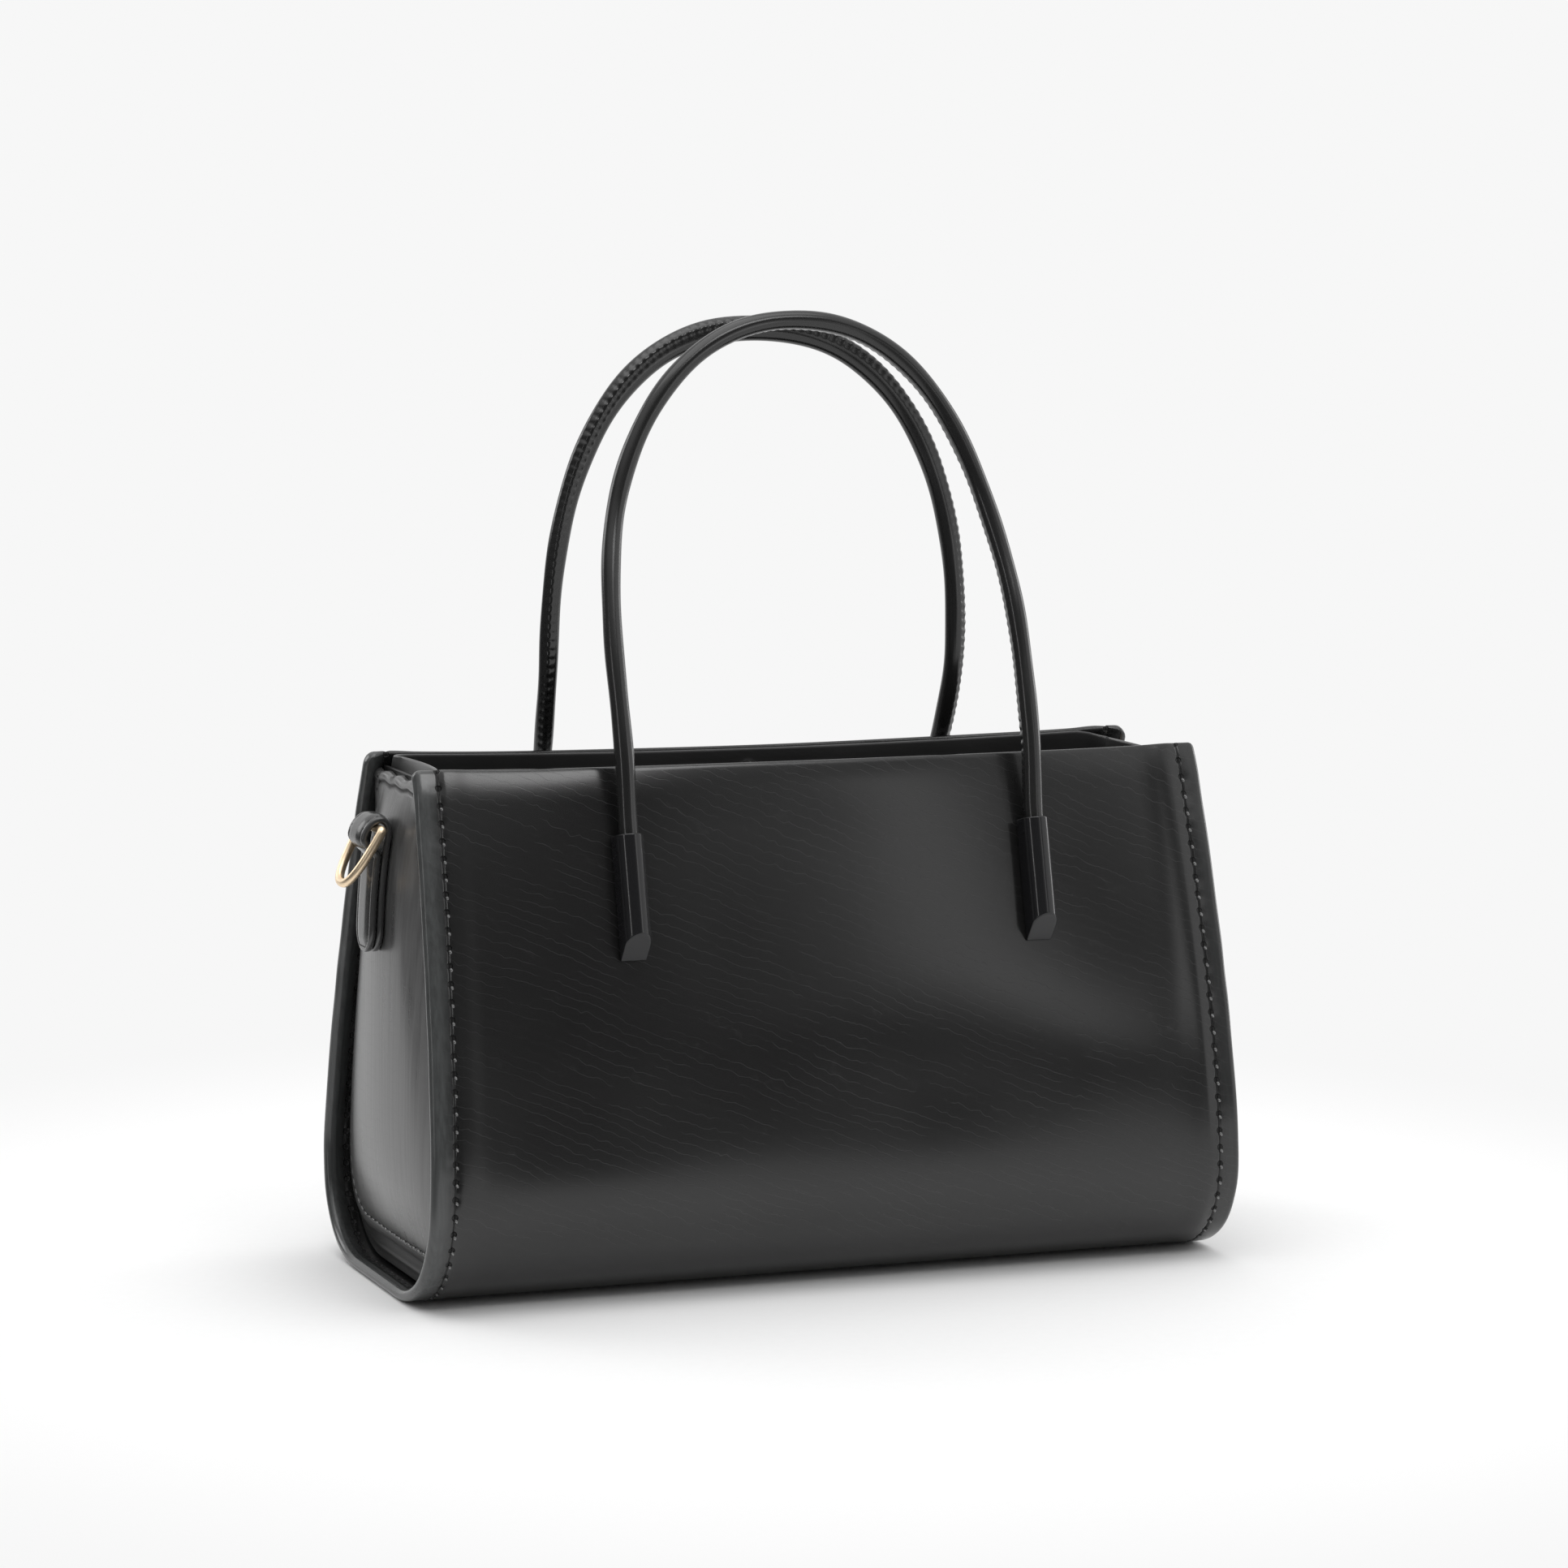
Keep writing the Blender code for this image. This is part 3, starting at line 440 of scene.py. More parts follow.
# Painted light: the facing is the same black leather, painted much lighter than the wrap so that the shaded
# inside of the mouth does not go black.
facing_leather = worn(leather("facing_leather", 0.050, 0.30, creased=0.6))
hidden_leather = worn(leather("backing_leather", 0.008, 0.46, crease=0.004))

# Painted light: the straps are the same black leather, painted lighter than the wrap for the light that their
# padding catches.
strap_skin = leather("strap_leather", 0.032, 0.25, shine=0.8, creased=0.25)
pierce(strap_skin, strap_skin.value("run"), strap_skin.value("end") - 0.0021, 0.0024, 0.00038, 0.3)
strap_leather = worn(strap_skin)

handle_skin = leather("handle_leather", 0.012, 0.20, place="rest", grain=0.001, creased=0.1)
darken(handle_skin, handle_skin.value("shade"))
handle_leather = worn(handle_skin)

# %% [markdown]
# ## Cloth, board, thread and metals
# The lining is a black twill, made by two crossed waves. The boards are pressed fibre. The gold is pale
# and bright with a soft brushed bloom, and the black metal is a polished lacquer over brass.

# %% Other finishes
def twill(name, tone, threads):
    cloth = Finish(name, Specular_IOR_Level=0.2)
    half = math.radians(45)

    def wave(*turn):
        where = cloth.mapped(cloth.place(), (1, 1, 1), turn)
        return cloth.node("TexWave", None, {"Vector": where, "Scale": threads, "Distortion": 0.4}, "Fac")

    weave = wave(0, half, 0) * 0.6 + wave(half, 0, half) * 0.4
    cloth.wear("Base Color", cloth.mix(weave, grey(tone * 0.6), grey(tone * 1.4)))
    cloth.wear("Roughness", 0.75 + weave * 0.15)
    cloth.relief(weave * 0.12)
    return cloth.material


def fibreboard(name, dark, pale):
    board = Finish(name, Roughness=0.85)
    flecks = board.noise(board.mapped(board.place(), (1, 1, 0.33)), 500, 4)
    board.wear("Base Color", board.mix(flecks, dark, pale))
    board.relief(flecks * 0.05)
    return board.material


def metal(name, tone, metallic, roughness, bloom, scratch=0.0):
    bright = Finish(name, Metallic=metallic)
    cloudy = bright.noise(bright.place(), 120, 3)
    worn_tone = tuple(value * 0.93 for value in tone)
    bright.wear("Base Color", bright.mix(cloudy, (*tone, 1), (*worn_tone, 1)))
    bright.wear("Roughness", roughness + (cloudy - 0.5) * bloom)
    if scratch:
        brushed = bright.noise(bright.mapped(bright.place(), (0.0004, 0.0004, 0.008)), 1.0, 2)
        bright.relief(brushed * scratch)
    return bright.material


# Painted light: the black twill is painted lighter, so that the shaded inside of the bag does not go black.
lining_cloth = twill("lining_twill", 0.045, 500)
board_finish = fibreboard("pressed_board", (0.12, 0.085, 0.055, 1), (0.22, 0.165, 0.11, 1))
gold_metal = metal("pale_gold_polished", (1.0, 0.80, 0.56), 1.0, 0.38, 0.05)
black_metal = metal("black_lacquered_metal", (0.010, 0.010, 0.011), 0.0, 0.14, 0.05)
steel_metal = metal("bright_steel_brushed", (0.60, 0.60, 0.60), 1.0, 0.30, 0.10, 0.002)

# %% [markdown]
# ## Shaping with arrays
# The soft forms are sums of a few simple curves over whole grids of points: steps, ridges and ripples.

# %% Array helpers
def soft_step(value, low, high):
    share = np.clip((value - low) / (high - low), 0, 1)
    return share * share * (3 - 2 * share)


def rounded(distance, radius):
    """How far a rounded edge has fallen away at a distance from the edge."""
    return radius - np.sqrt(np.maximum(radius ** 2 - np.clip(radius - distance, 0, radius) ** 2, 0))


def ridge(distance, middle, width):
    return np.exp(-((distance - middle) / width) ** 2)


def ripple(value, length, phase=0.0):
    return np.sin(2 * np.pi * value / length + phase)


def beating(value, pitch):
    """1 at every stitch of a seam and 0 halfway between two of them."""
    return 0.5 + 0.5 * np.cos(2 * np.pi * value / pitch)


def unit(ways):
    return ways / np.linalg.norm(ways, axis=-1, keepdims=True)


def lengths(points):
    """How far along a line each of its points lies."""
    return np.concatenate([[0], np.cumsum(np.linalg.norm(np.diff(points, axis=0), axis=-1))])


# %% [markdown]
# ## The bag's section
# The body is a U bent from one panel, so a point on it needs only three numbers: its place across the
# bag, how far along the U it lies, and how deep it is under the outer face. The same curve as the part's
# is worked out here for whole arrays, which makes grids as fine as the leather needs.

# %% Sizes repeated from the part
MM = 0.001
BODY_HEIGHT = 0.171
RIM_WIDTH = 0.2735
BASE_WIDTH = 0.2834
RIM_DEPTH = 0.0552
BODY_DEPTH = 0.1206
MOUTH_BOW = 0.006
BELLY_HEIGHT = 0.037
BASE_FLAT = 0.042
WALL_LEAN_POWER = 1.5
CORNER_POWER = 2.2
FIT = 0.0003
WRAP_THICKNESS = 0.0020
BOARD_FACE = WRAP_THICKNESS + FIT
GUSSET_THICKNESS = 0.0018
GUSSET_INSET_TOP = 0.0047
GUSSET_INSET_BASE = 0.0080
GUSSET_TOP = BODY_HEIGHT - 0.0065
GUSSET_FOOT = 0.0110
GUSSET_CORNER = 0.012
GUSSET_BOW = 0.0075


def half_width(height):
    return (RIM_WIDTH + (BASE_WIDTH - RIM_WIDTH) * (1 - height / BODY_HEIGHT)) / 2


def outline(x, t):
    """Depth and height on the outer face: t is 0 to 1 on the base, to 2 round the corner, to 3 up."""
    angle = np.pi / 2 * np.clip(t - 1, 0, 1)
    rise = np.clip(t - 2, 0, 1)
    reach = (BODY_DEPTH - BASE_FLAT) / 2
    rim = RIM_DEPTH / 2 + MOUTH_BOW * (1 - (2 * x / RIM_WIDTH) ** 2)
    depth = BASE_FLAT / 2 * np.clip(t, 0, 1) + reach * np.sin(angle) ** (2 / CORNER_POWER)
    depth = depth + (rim - BODY_DEPTH / 2) * rise ** WALL_LEAN_POWER
    height = BELLY_HEIGHT * (1 - np.maximum(np.cos(angle), 0) ** (2 / CORNER_POWER))
    return depth, height + (BODY_HEIGHT - BELLY_HEIGHT) * rise


def layer(x, q, inward):
    """Points under the outer face: q counts like t, and is above 0 on the front half."""
    x, q, inward = np.broadcast_arrays(x, q, inward)
    t = np.abs(q)
    depth, height = outline(x, t)
    low = outline(x, np.maximum(t - 0.02, 0))
    high = outline(x, np.minimum(t + 0.02, 3))
    along = np.array([high[0] - low[0], high[1] - low[1]])
    along = along / np.hypot(*along)
    depth = depth - inward * along[1]
    height = height + inward * along[0]
    return np.stack([x, -np.sign(q) * depth, height], -1)


def wall_t(height):
    return 2 + (height - BELLY_HEIGHT) / (BODY_HEIGHT - BELLY_HEIGHT)


STEPS = np.linspace(0, 3, 1501)
ARC = lengths(np.stack(outline(0.0, STEPS), -1))
print("half the panel's length round the bag, mm:", round(ARC[-1] * 1000, 1))


def t_at(arc):
    return np.interp(arc, ARC, STEPS)


# %% [markdown]
# A soft sheet is two grids, one for each face, joined round their borders. One helper closes them into
# a solid, gives each vertex the numbers that the finishes read, and turns the faces outwards.

# %% Closed sheets
def cells(index):
    """The four corners of each cell in a grid of vertex numbers."""
    return np.stack([index[:-1, :-1], index[:-1, 1:], index[1:, 1:], index[1:, :-1]], -1).reshape(-1, 4)


def give_numbers(mesh, shape, values):
    """Writes one number to each vertex. A sheet has the same ones on both faces."""
    for word, value in values.items():
        flat = np.broadcast_to(value, shape).reshape(-1)
        numbers = np.tile(flat, len(mesh.vertices) // len(flat))
        mesh.attributes.new(word, "FLOAT", "POINT").data.foreach_set("value", numbers)


def shell(name, outer, inner, around=False, **values):
    rows, columns = outer.shape[:2]
    count = rows * columns
    index = np.arange(count).reshape(rows, columns)
    if around:
        index = np.hstack([index, index[:, :1]])
    face = cells(index)
    faces = [face, face[:, ::-1] + count]
    borders = [index[0], index[-1]] if around else [index[0], index[-1], index[:, 0], index[:, -1]]
    for border in borders:
        faces.append(np.stack([border[:-1], border[1:], border[1:] + count, border[:-1] + count], -1))
    points = np.concatenate([outer.reshape(-1, 3), inner.reshape(-1, 3)])
    mesh = bpy.data.meshes.new(name)
    mesh.from_pydata(points.tolist(), [], np.concatenate(faces).tolist())
    give_numbers(mesh, (rows, columns), values)
    return tidied(name, mesh)


def tidied(name, mesh):
    bm = bmesh.new()
    bm.from_mesh(mesh)
    bmesh.ops.remove_doubles(bm, verts=bm.verts[:], dist=2e-6)
    bmesh.ops.recalc_face_normals(bm, faces=bm.faces[:])
    bm.to_mesh(mesh)
    bm.free()
    mesh.shade_smooth()
    print(name, "faces:", len(mesh.polygons))
    return add_object(name, mesh)


def dress(piece, material, body, slot, *nodes):
    """Gives a piece its finish and the body that it rides on, and hides the CAD nodes that it stands for."""
    piece.data.materials.append(material)
    if body:
        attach(piece, body)
    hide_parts(*nodes)
    return piece


# %% [markdown]
# ## The wrapped panel
# Front, base and back are one hide, turned over a cord at each end, so every end is a thick roll with a
# flat band beside it and a line of holes. It is drawn as a flat section from end to end, carried round
# the U. Beside the seam the hide is pressed in, and past it swells. The back rim sags between its ends,
# because only the handles hold it, and the rim's corners are rounded by use.

# %% Section across the panel
ROLL = 0.0020
roll_turn = np.radians([0, 18, 36, 54, 72, 90])
SEAM_LINE = 0.0076
LAST_GAP = 0.021
before_seam = np.array([2.6, 3.2, 3.8])
near_seam = np.array([-0.9, -0.6, -0.35, -0.15, 0, 0.15, 0.35, 0.65, 1.0, 1.5, 2.1, 2.8, 3.5, 4.1, 4.6, 5.1,
                      5.6, 6.2, 7.0, 8.0, 9.2, 10.6])


def edge_section(swelling, rise_end, fall_start, fall_end):
    """From an end inwards: distance from the end, depth of the outer face, swelling and inner depth."""
    gap = np.concatenate([MM * before_seam, SEAM_LINE + MM * near_seam, [LAST_GAP]])
    past = gap - SEAM_LINE
    press = 0.40 * ridge(past, 0.0, 0.00030) + 0.12 * ridge(past, -0.0013, 0.0003)
    swell = swelling * (soft_step(past, 0.0002, rise_end) - soft_step(past, fall_start, fall_end))
    taper = np.interp(gap, MM * np.array([3.4, 4.2, 4.6, 5.2]), MM * np.array([4.0, 3.6, 2.3, 2.0]))
    return (np.concatenate([ROLL * (1 - np.cos(roll_turn)), gap]),
            np.concatenate([ROLL * (1 - np.sin(roll_turn)), press * MM]),
            np.concatenate([roll_turn * 0, swell * MM]),
            np.concatenate([ROLL * (1 + np.sin(roll_turn)), taper]))


middle = np.linspace(-1, 1, 67)[1:-1]
flat = middle * 0
left_edge = edge_section(0.45, 0.0020, 0.0033, 0.0115)
right_edge = edge_section(0.55, 0.0042, 0.0050, 0.0134)
one_edge = left_edge[0] * 0 + 1
side_sign = np.concatenate([-one_edge, flat, one_edge])
share_row = np.concatenate([-one_edge, middle, one_edge])
gap_row, outer_row, swell_row, inner_row = (
    np.concatenate([left, flat + inside, right[::-1]])
    for left, right, inside in zip(left_edge, right_edge, (LAST_GAP, 0, 0, WRAP_THICKNESS)))

# %% How the rim hangs
FRONT_SAG = 0.0008
BACK_SAG = 0.0035
SAGS_FROM = 0.120
CORNER_FROM = 0.145


def sagged(x, back):
    """How far the rim hangs across its length: back is 0 on the front rim and 1 on the back one."""
    share = np.minimum(np.abs(2 * x / RIM_WIDTH), 1)
    return (1 - back) * FRONT_SAG * (1 - share ** 4) + back * BACK_SAG * (1 - share ** 2)


def rim_drop(x, q, gap):
    wide = np.where(q > 0, 0.0026, 0.0040)
    tall = np.where(q > 0, 1.0, 1.3)
    return sagged(x, np.where(q > 0, 0, 1)), rounded(gap, wide) * tall


def hung(x, q, gap):
    """Slides points down the wall so that the rim hangs, without moving the wall itself."""
    t = np.abs(q)
    sag, corner = rim_drop(x, q, gap)
    wall = BODY_HEIGHT - BELLY_HEIGHT
    slide = sag * soft_step(t, wall_t(SAGS_FROM), 3) + corner * soft_step(t, wall_t(CORNER_FROM), 3)
    return np.sign(q) * (t - slide / wall)


# %% The panel
# Each dent: across, height, half width and half height in metres, then depth in millimetres.
DENTS = ((-0.052, 0.118, 0.030, 0.030, 0.4), (-0.015, 0.150, 0.035, 0.012, 0.3),
         (0.100, 0.068, 0.050, 0.022, -0.6), (-0.090, 0.065, 0.050, 0.022, 0.8),
         (0.036, 0.062, 0.045, 0.020, 0.6), (0.0, 0.062, 0.130, 0.020, 0.25))
RIM_FOLD = 0.011
SLACK_WAVE = 0.027
PULL_REACH = 0.0011


def rim_lip(x, height):
    """The rim is folded over, so its last centimetre leans in, most of all near the left seam."""
    near = np.clip((height - BODY_HEIGHT) / RIM_FOLD + 1, 0, 1)
    waves = 0.85 * ridge(x, -0.095, 0.045) + 0.25 * ridge(x, 0.0, 0.035) + 0.45 * ridge(x, 0.110, 0.025)
    return MM * (0.35 + waves) * near ** 2


rim_turn = np.radians([0, 20, 40, 60, 78])
rim_round = 0.0009
low_arcs = np.linspace(0, ARC[-1] - rim_round, 230)
half_t = t_at(np.concatenate([low_arcs[:-1], ARC[-1] - rim_round * (1 - np.sin(rim_turn))]))
half_thin = np.concatenate([low_arcs[:-1] * 0 + 1, 1 - 0.9 * (1 - np.cos(rim_turn))])
row_q = np.concatenate([-half_t[:0:-1], half_t])[:, None]
row_thin = np.concatenate([half_thin[:0:-1], half_thin])[:, None]
row_height = outline(0.0, np.abs(row_q))[1]
row_half = half_width(row_height)
x = np.where(np.abs(share_row) == 1, side_sign * (row_half - gap_row),
             share_row * (row_half - LAST_GAP))
run = np.sign(row_q) * np.interp(np.abs(row_q), STEPS, ARC)
from_end = row_half - np.abs(x)
from_seam = from_end - SEAM_LINE
lift = soft_step(np.abs(row_q), 1.1, 1.8)
dents = sum(deep * MM * ridge(x, middle_x, wide) * ridge(row_height, middle_z, tall)
            for middle_x, middle_z, wide, tall, deep in DENTS)
dents = dents * lift * soft_step(from_end, 0.008, 0.030) + rim_lip(x, row_height) * lift
# The roll beside the seam is a little wavy, and each stitch pulls the hide in.
slack = MM * 0.13 * ripple(run, SLACK_WAVE, ripple(run, 0.071)) * lift
slack = slack * (1 - soft_step(from_seam, -0.0010, 0.0001))
beat = np.abs(np.mod(run / SEAM_PITCH + 0.5, 1) - 0.5) * SEAM_PITCH
pull = 0.28 * MM * ridge(beat, 0, PULL_REACH) * ridge(from_seam, 0.0003, 0.0009) * lift
middle_depth = (outer_row + inner_row) / 2
face = middle_depth + (outer_row - middle_depth) * row_thin - swell_row * lift + dents + slack + pull
back = middle_depth + (inner_row - middle_depth) * row_thin + dents + slack
q = hung(x, row_q, from_end)
# Painted sheen and rub wear: the band from the roll to the seam is painted paler, fully on the left end and a
# quarter as much on the right.
rubbed = (1 - soft_step(from_seam, -0.0018, -0.0003)) * np.where(x < 0, 1.0, 0.25)
wrap = shell("wrap_leather", layer(x, q, face), layer(x, q, back), seam=from_seam, run=run + x * 0,
             rubbed=rubbed)
dress(wrap, wrap_leather, "body", "black_leather", "outer_wrap", "left_piping", "right_piping")

# %% [markdown]
# Each stitch of the end seams dives into its hole and shows only as a short waxed bead, lying slanted
# below the hole. The beads catch the light, and they are what makes the row of stitches glitter.

# %% Seam thread
def beads(name, spots, size):
    """Small oval beads. Each spot is a place, the thread's direction and the way out."""
    bm = bmesh.new()
    for place, along, out in spots:
        along = Vector(along).normalized()
        across = Vector(out).normalized().cross(along).normalized()
        turn = Matrix((along, across, along.cross(across))).transposed().to_4x4()
        shape = Matrix.Diagonal((*size, 1))
        bmesh.ops.create_uvsphere(bm, u_segments=10, v_segments=8, radius=1.0,
                                  matrix=Matrix.Translation(Vector(place)) @ turn @ shape)
    return tidied(name, mesh_from(name, bm))


# The thread's grey is lighter than black thread: partly a painted glint, to brighten the beads.
waxed = Finish("waxed_thread", Specular_IOR_Level=0.6)
strands = waxed.node("TexWave", {"bands_direction": "DIAGONAL"},
                     {"Vector": waxed.place(), "Scale": 900.0}, "Fac")
waxed.wear("Base Color", waxed.mix(strands, grey(0.09), grey(0.22)))
waxed.wear("Roughness", 0.16 + strands * 0.12)
waxed.relief(strands * 0.03)
thread = waxed.material

STITCHES = 37
BEAD_SIZE = (0.00078, 0.00048, 0.00048)
BEAD_DEPTH = 0.00025
PAST_HOLE = 0.0013
BESIDE_HOLE = np.array([0.00060, 0, 0])
SLANTED = np.array([0.55, 0, 0])

numbers = np.arange(-STITCHES, STITCHES + 1)
wall = np.where(numbers < 0, -1, 1)
seam_q = wall * t_at(np.abs(numbers) * SEAM_PITCH)
for word, side in SIDES:
    seam_x = side * (half_width(outline(0.0, np.abs(seam_q))[1]) - SEAM_LINE)
    here = layer(seam_x, seam_q, BEAD_DEPTH)
    way = unit(wall[:, None] * (layer(seam_x, seam_q - wall * 0.01, BEAD_DEPTH) - here))
    out = layer(seam_x, seam_q, -0.001) - here
    seam = beads(word + "_seam_thread", zip(here + way * PAST_HOLE + BESIDE_HOLE, way + SLANTED, out), BEAD_SIZE)
    dress(seam, thread, "body", "black_leather")

# %% [markdown]
# ## The end panels
# A gusset is a separate piece of hide that closes each end a little inside the rolls. It is bowed
# outwards like a shallow cushion, pulled in along its own seam, with a folded lip on top. Its border is
# curved, so the distance to that border is measured for every point, and the profile follows it.

# %% Gusset surface
def gusset_inset(height):
    return GUSSET_INSET_BASE + (GUSSET_INSET_TOP - GUSSET_INSET_BASE) * height / BODY_HEIGHT


def depth_at(x, height, inward):
    low, high = np.ones_like(height), np.ones_like(height) * 3
    for _ in range(26):
        half = (low + high) / 2
        under = layer(x, half, inward)[..., 2] < height
        low, high = np.where(under, half, low), np.where(under, high, half)
    return -layer(x, low, inward)[..., 1]


def gusset_half(height):
    return depth_at(half_width(height) - gusset_inset(height), height, WRAP_THICKNESS + 0.0006)


def gusset_reach(y, height, half):
    v = np.clip(2 * (height - GUSSET_FOOT) / (GUSSET_TOP - GUSSET_FOOT) - 1, -1, 1)
    bow = GUSSET_BOW * (1 - np.clip(np.abs(y) / half, 0, 1) ** 2) * (1 - v ** 4)
    return half_width(height) - gusset_inset(height) + bow


def border_distance(y, z, edge):
    """Distance to a border line and how far along it the nearest point lies, for whole grids."""
    start, step = edge[:-1], np.diff(edge, axis=0)
    length = np.hypot(step[:, 0], step[:, 1])
    best, along = np.full(y.shape, 1e9), np.zeros(y.shape)
    for origin, way, size, offset in zip(start, step, length, lengths(edge)):
        share = np.clip(((y - origin[0]) * way[0] + (z - origin[1]) * way[1]) / size ** 2, 0, 1)
        gap = np.hypot(y - origin[0] - share * way[0], z - origin[1] - share * way[1])
        along = np.where(gap < best, offset + share * size, along)
        best = np.minimum(best, gap)
    return best, along


def panel_grid(foot, top, corner):
    """Grid of an end panel, close near its border: y, z, half width, distance to the border line,
    how far along that line the nearest point lies, and the line."""
    fine = MM * np.array([0, 0.25, 0.6, 1.0, 1.5, 2.2, 2.9, 3.4, 3.75, 4.1, 4.45, 4.9, 5.6, 6.6, 8, 10])
    heights = np.concatenate([foot + fine, np.linspace(foot + 0.012, top - 0.012, 58), top - fine[::-1]])
    heights = heights[:, None]
    half = gusset_half(heights)
    share = np.linspace(0.0, 1.0, 26)[1:-1]
    inner = half - fine[-1] - 0.001
    y = np.concatenate([-(half - fine), (share * 2 - 1) * inner, (half - fine)[:, ::-1]], axis=1)
    drop = np.clip(1 - (heights - foot) / corner, 0, 1)
    y = y - (y / half) * corner * (1 - np.sqrt(1 - drop ** 2))
    z = heights + y * 0
    grid = np.stack([y, z], -1)
    edge = np.concatenate([grid[::-1, 0], grid[0, 1:], grid[1:, -1]])
    return (y, z, half, *border_distance(y, z, edge), edge)


def seam_places(edge, inset, pitch):
    """Middles of the stitches between the holes of a seam inside a border, and which way they run."""
    marks = lengths(edge)
    spots = np.arange(pitch / 2, marks[-1] - pitch, pitch)
    low, high = (np.stack([np.interp(spots + shift, marks, edge[:, axis]) for axis in (0, 1)], -1)
                 for shift in (-0.001, 0.001))
    way = unit(high - low)
    return (low + high) / 2 + inset * np.stack([-way[:, 1], way[:, 0]], -1), way


# %% Gussets and what lies behind them
THREAD_SIZE = (0.0014, 0.00040, 0.00034)
THREAD_SINK = 1.60 * MM
BACKING_THICKNESS = 0.0012

y, z, half, away, along, edge = panel_grid(GUSSET_FOOT, GUSSET_TOP, GUSSET_CORNER)
from_top = GUSSET_TOP - z
fold = ridge(from_top, 0.0032, 0.0006) * soft_step(away, 0.003, 0.006)
bump = (0.30 * soft_step(away, 0.0006, 0.0018) - 0.30 * soft_step(away, 0.0026, 0.0036)
        - 0.50 * ridge(away, GUSSET_SEAM, 0.0006)
        - 0.22 * ridge(away, 0.0052, 0.0011) * beating(along, GUSSET_PITCH)
        + 0.35 * ridge(away, 0.0085, 0.0030) * soft_step(z, 0.011, 0.03)
        + 0.65 * (1 - soft_step(from_top, 0.0022, 0.0028)) * soft_step(away, 0.0, 0.002)
        - 0.70 * fold
        + 0.25 * ripple(y, 0.017, 0.8) * (1 - soft_step(from_top, 0.0, 0.004)))
fall = rounded(away, 0.0009) + rounded(from_top, 0.0009)
lip_z = z + 0.00045 * ripple(y, 0.013) * (1 - soft_step(from_top, 0.001, 0.008))
cushion = 1.5 * MM * (soft_step(away, 0.002, 0.026) - 1) * soft_step(from_top, 0.003, 0.015)
reach = gusset_reach(y, z, half) + cushion
stitches, ways = seam_places(edge, GUSSET_SEAM, GUSSET_PITCH)
stitch_x = gusset_reach(*stitches.T, gusset_half(stitches[:, 1])) - THREAD_SINK
for word, side in SIDES:
    spots = [((side * x, *place), (0, *way), (side, 0, 0))
             for x, place, way in zip(stitch_x, stitches, ways)]
    seam = beads(word + "_gusset_thread", spots, THREAD_SIZE)
    dress(seam, thread, "body", "gusset_leather")
    outer = np.stack([side * (reach + bump * MM - fall), y, lip_z], -1)
    inner = np.stack([side * (reach - GUSSET_THICKNESS), y, lip_z], -1)
    panel = shell(word + "_gusset_leather", outer, inner, end=away, run=along, shade=fold * 0.9)
    dress(panel, gusset_leather, "body", "gusset_leather", word + "_gusset")

y, z, half, away, along, edge = panel_grid(WRAP_THICKNESS + 0.0009, BODY_HEIGHT - 0.0055, 0.002)
relief = 0.25 * MM * ridge(away, 0.0036, 0.0006) - rounded(away, 0.0006)
reach = gusset_reach(y, z, half) - GUSSET_THICKNESS - 2 * FIT
for word, side in SIDES:
    outer = np.stack([side * (reach + relief), y, z], -1)
    inner = np.stack([side * (reach - BACKING_THICKNESS), y, z], -1)
    panel = shell(word + "_gusset_backing_leather", outer, inner)
    dress(panel, hidden_leather, "body", "black_leather", word + "_gusset_backing")

# %% [markdown]
# ## Inside the mouth
# A leather facing runs round inside the rim and the lining hangs below it as a cloth tub. Both are
# loops: a rounded rectangle at each height, whose long sides follow the hanging rim.

# %% Facing and lining
FACING_HEIGHT = 0.022
FACING_THICKNESS = 0.0012
FACING_BOW = 0.0030
LINING_THICKNESS = 0.0010
END_STACK = GUSSET_THICKNESS + BACKING_THICKNESS + 3 * FIT
MOUTH_CORNER = 0.005
LINING_FACE = 0.0063
FACING_INSIDE = 0.0038
BASE_LINING_FACE = 0.0042
RIGHT_DIP = 0.0025


def mouth_loop(t, depth, gap, bow):
    """A rounded rectangle of x and y, anticlockwise from above, and the height at which it lies."""
    height = layer(0.0, t, depth)[2]
    reach = half_width(height) - gusset_inset(height) - gap
    y_reach = -layer(reach, t, depth)[1]
    corner = np.array([reach, y_reach]) - MOUTH_CORNER
    turn = np.linspace(0, np.pi / 2, 7)
    arc = MOUTH_CORNER * np.stack([np.cos(turn), np.sin(turn)], -1)
    end_y = np.linspace(-1, 1, 15)[1:-1] * corner[1]
    side_x = np.linspace(1, -1, 61)[1:-1] * corner[0]
    half = np.concatenate([corner * [1, -1] + arc[:, ::-1] * [1, -1],
                           np.stack([reach - bow * (1 - (end_y / y_reach) ** 2), end_y], -1),
                           corner + arc, np.stack([side_x, -layer(side_x, t, depth)[:, 1]], -1)])
    return np.concatenate([half, -half]), height


def hung_loop(t, depth, gap, bow=0.0):
    points, height = mouth_loop(t, depth, gap, bow)
    x, y = points[:, 0], points[:, 1]
    sag = sagged(x, soft_step(y / np.abs(y).max(), -0.9, 0.9)) + RIGHT_DIP * soft_step(x, 0.118, 0.130)
    low = t - sag * soft_step(t, wall_t(SAGS_FROM), 3) / (BODY_HEIGHT - BELLY_HEIGHT)
    shift = layer(x, low, depth) - layer(x, t, depth)
    long_side = np.abs(y) > 0.6 * np.abs(y).max()
    y = y - np.where(long_side, np.sign(y) * (shift[:, 1] + rim_lip(x, height)), 0)
    return np.stack([x, y, height + shift[:, 2]], -1)


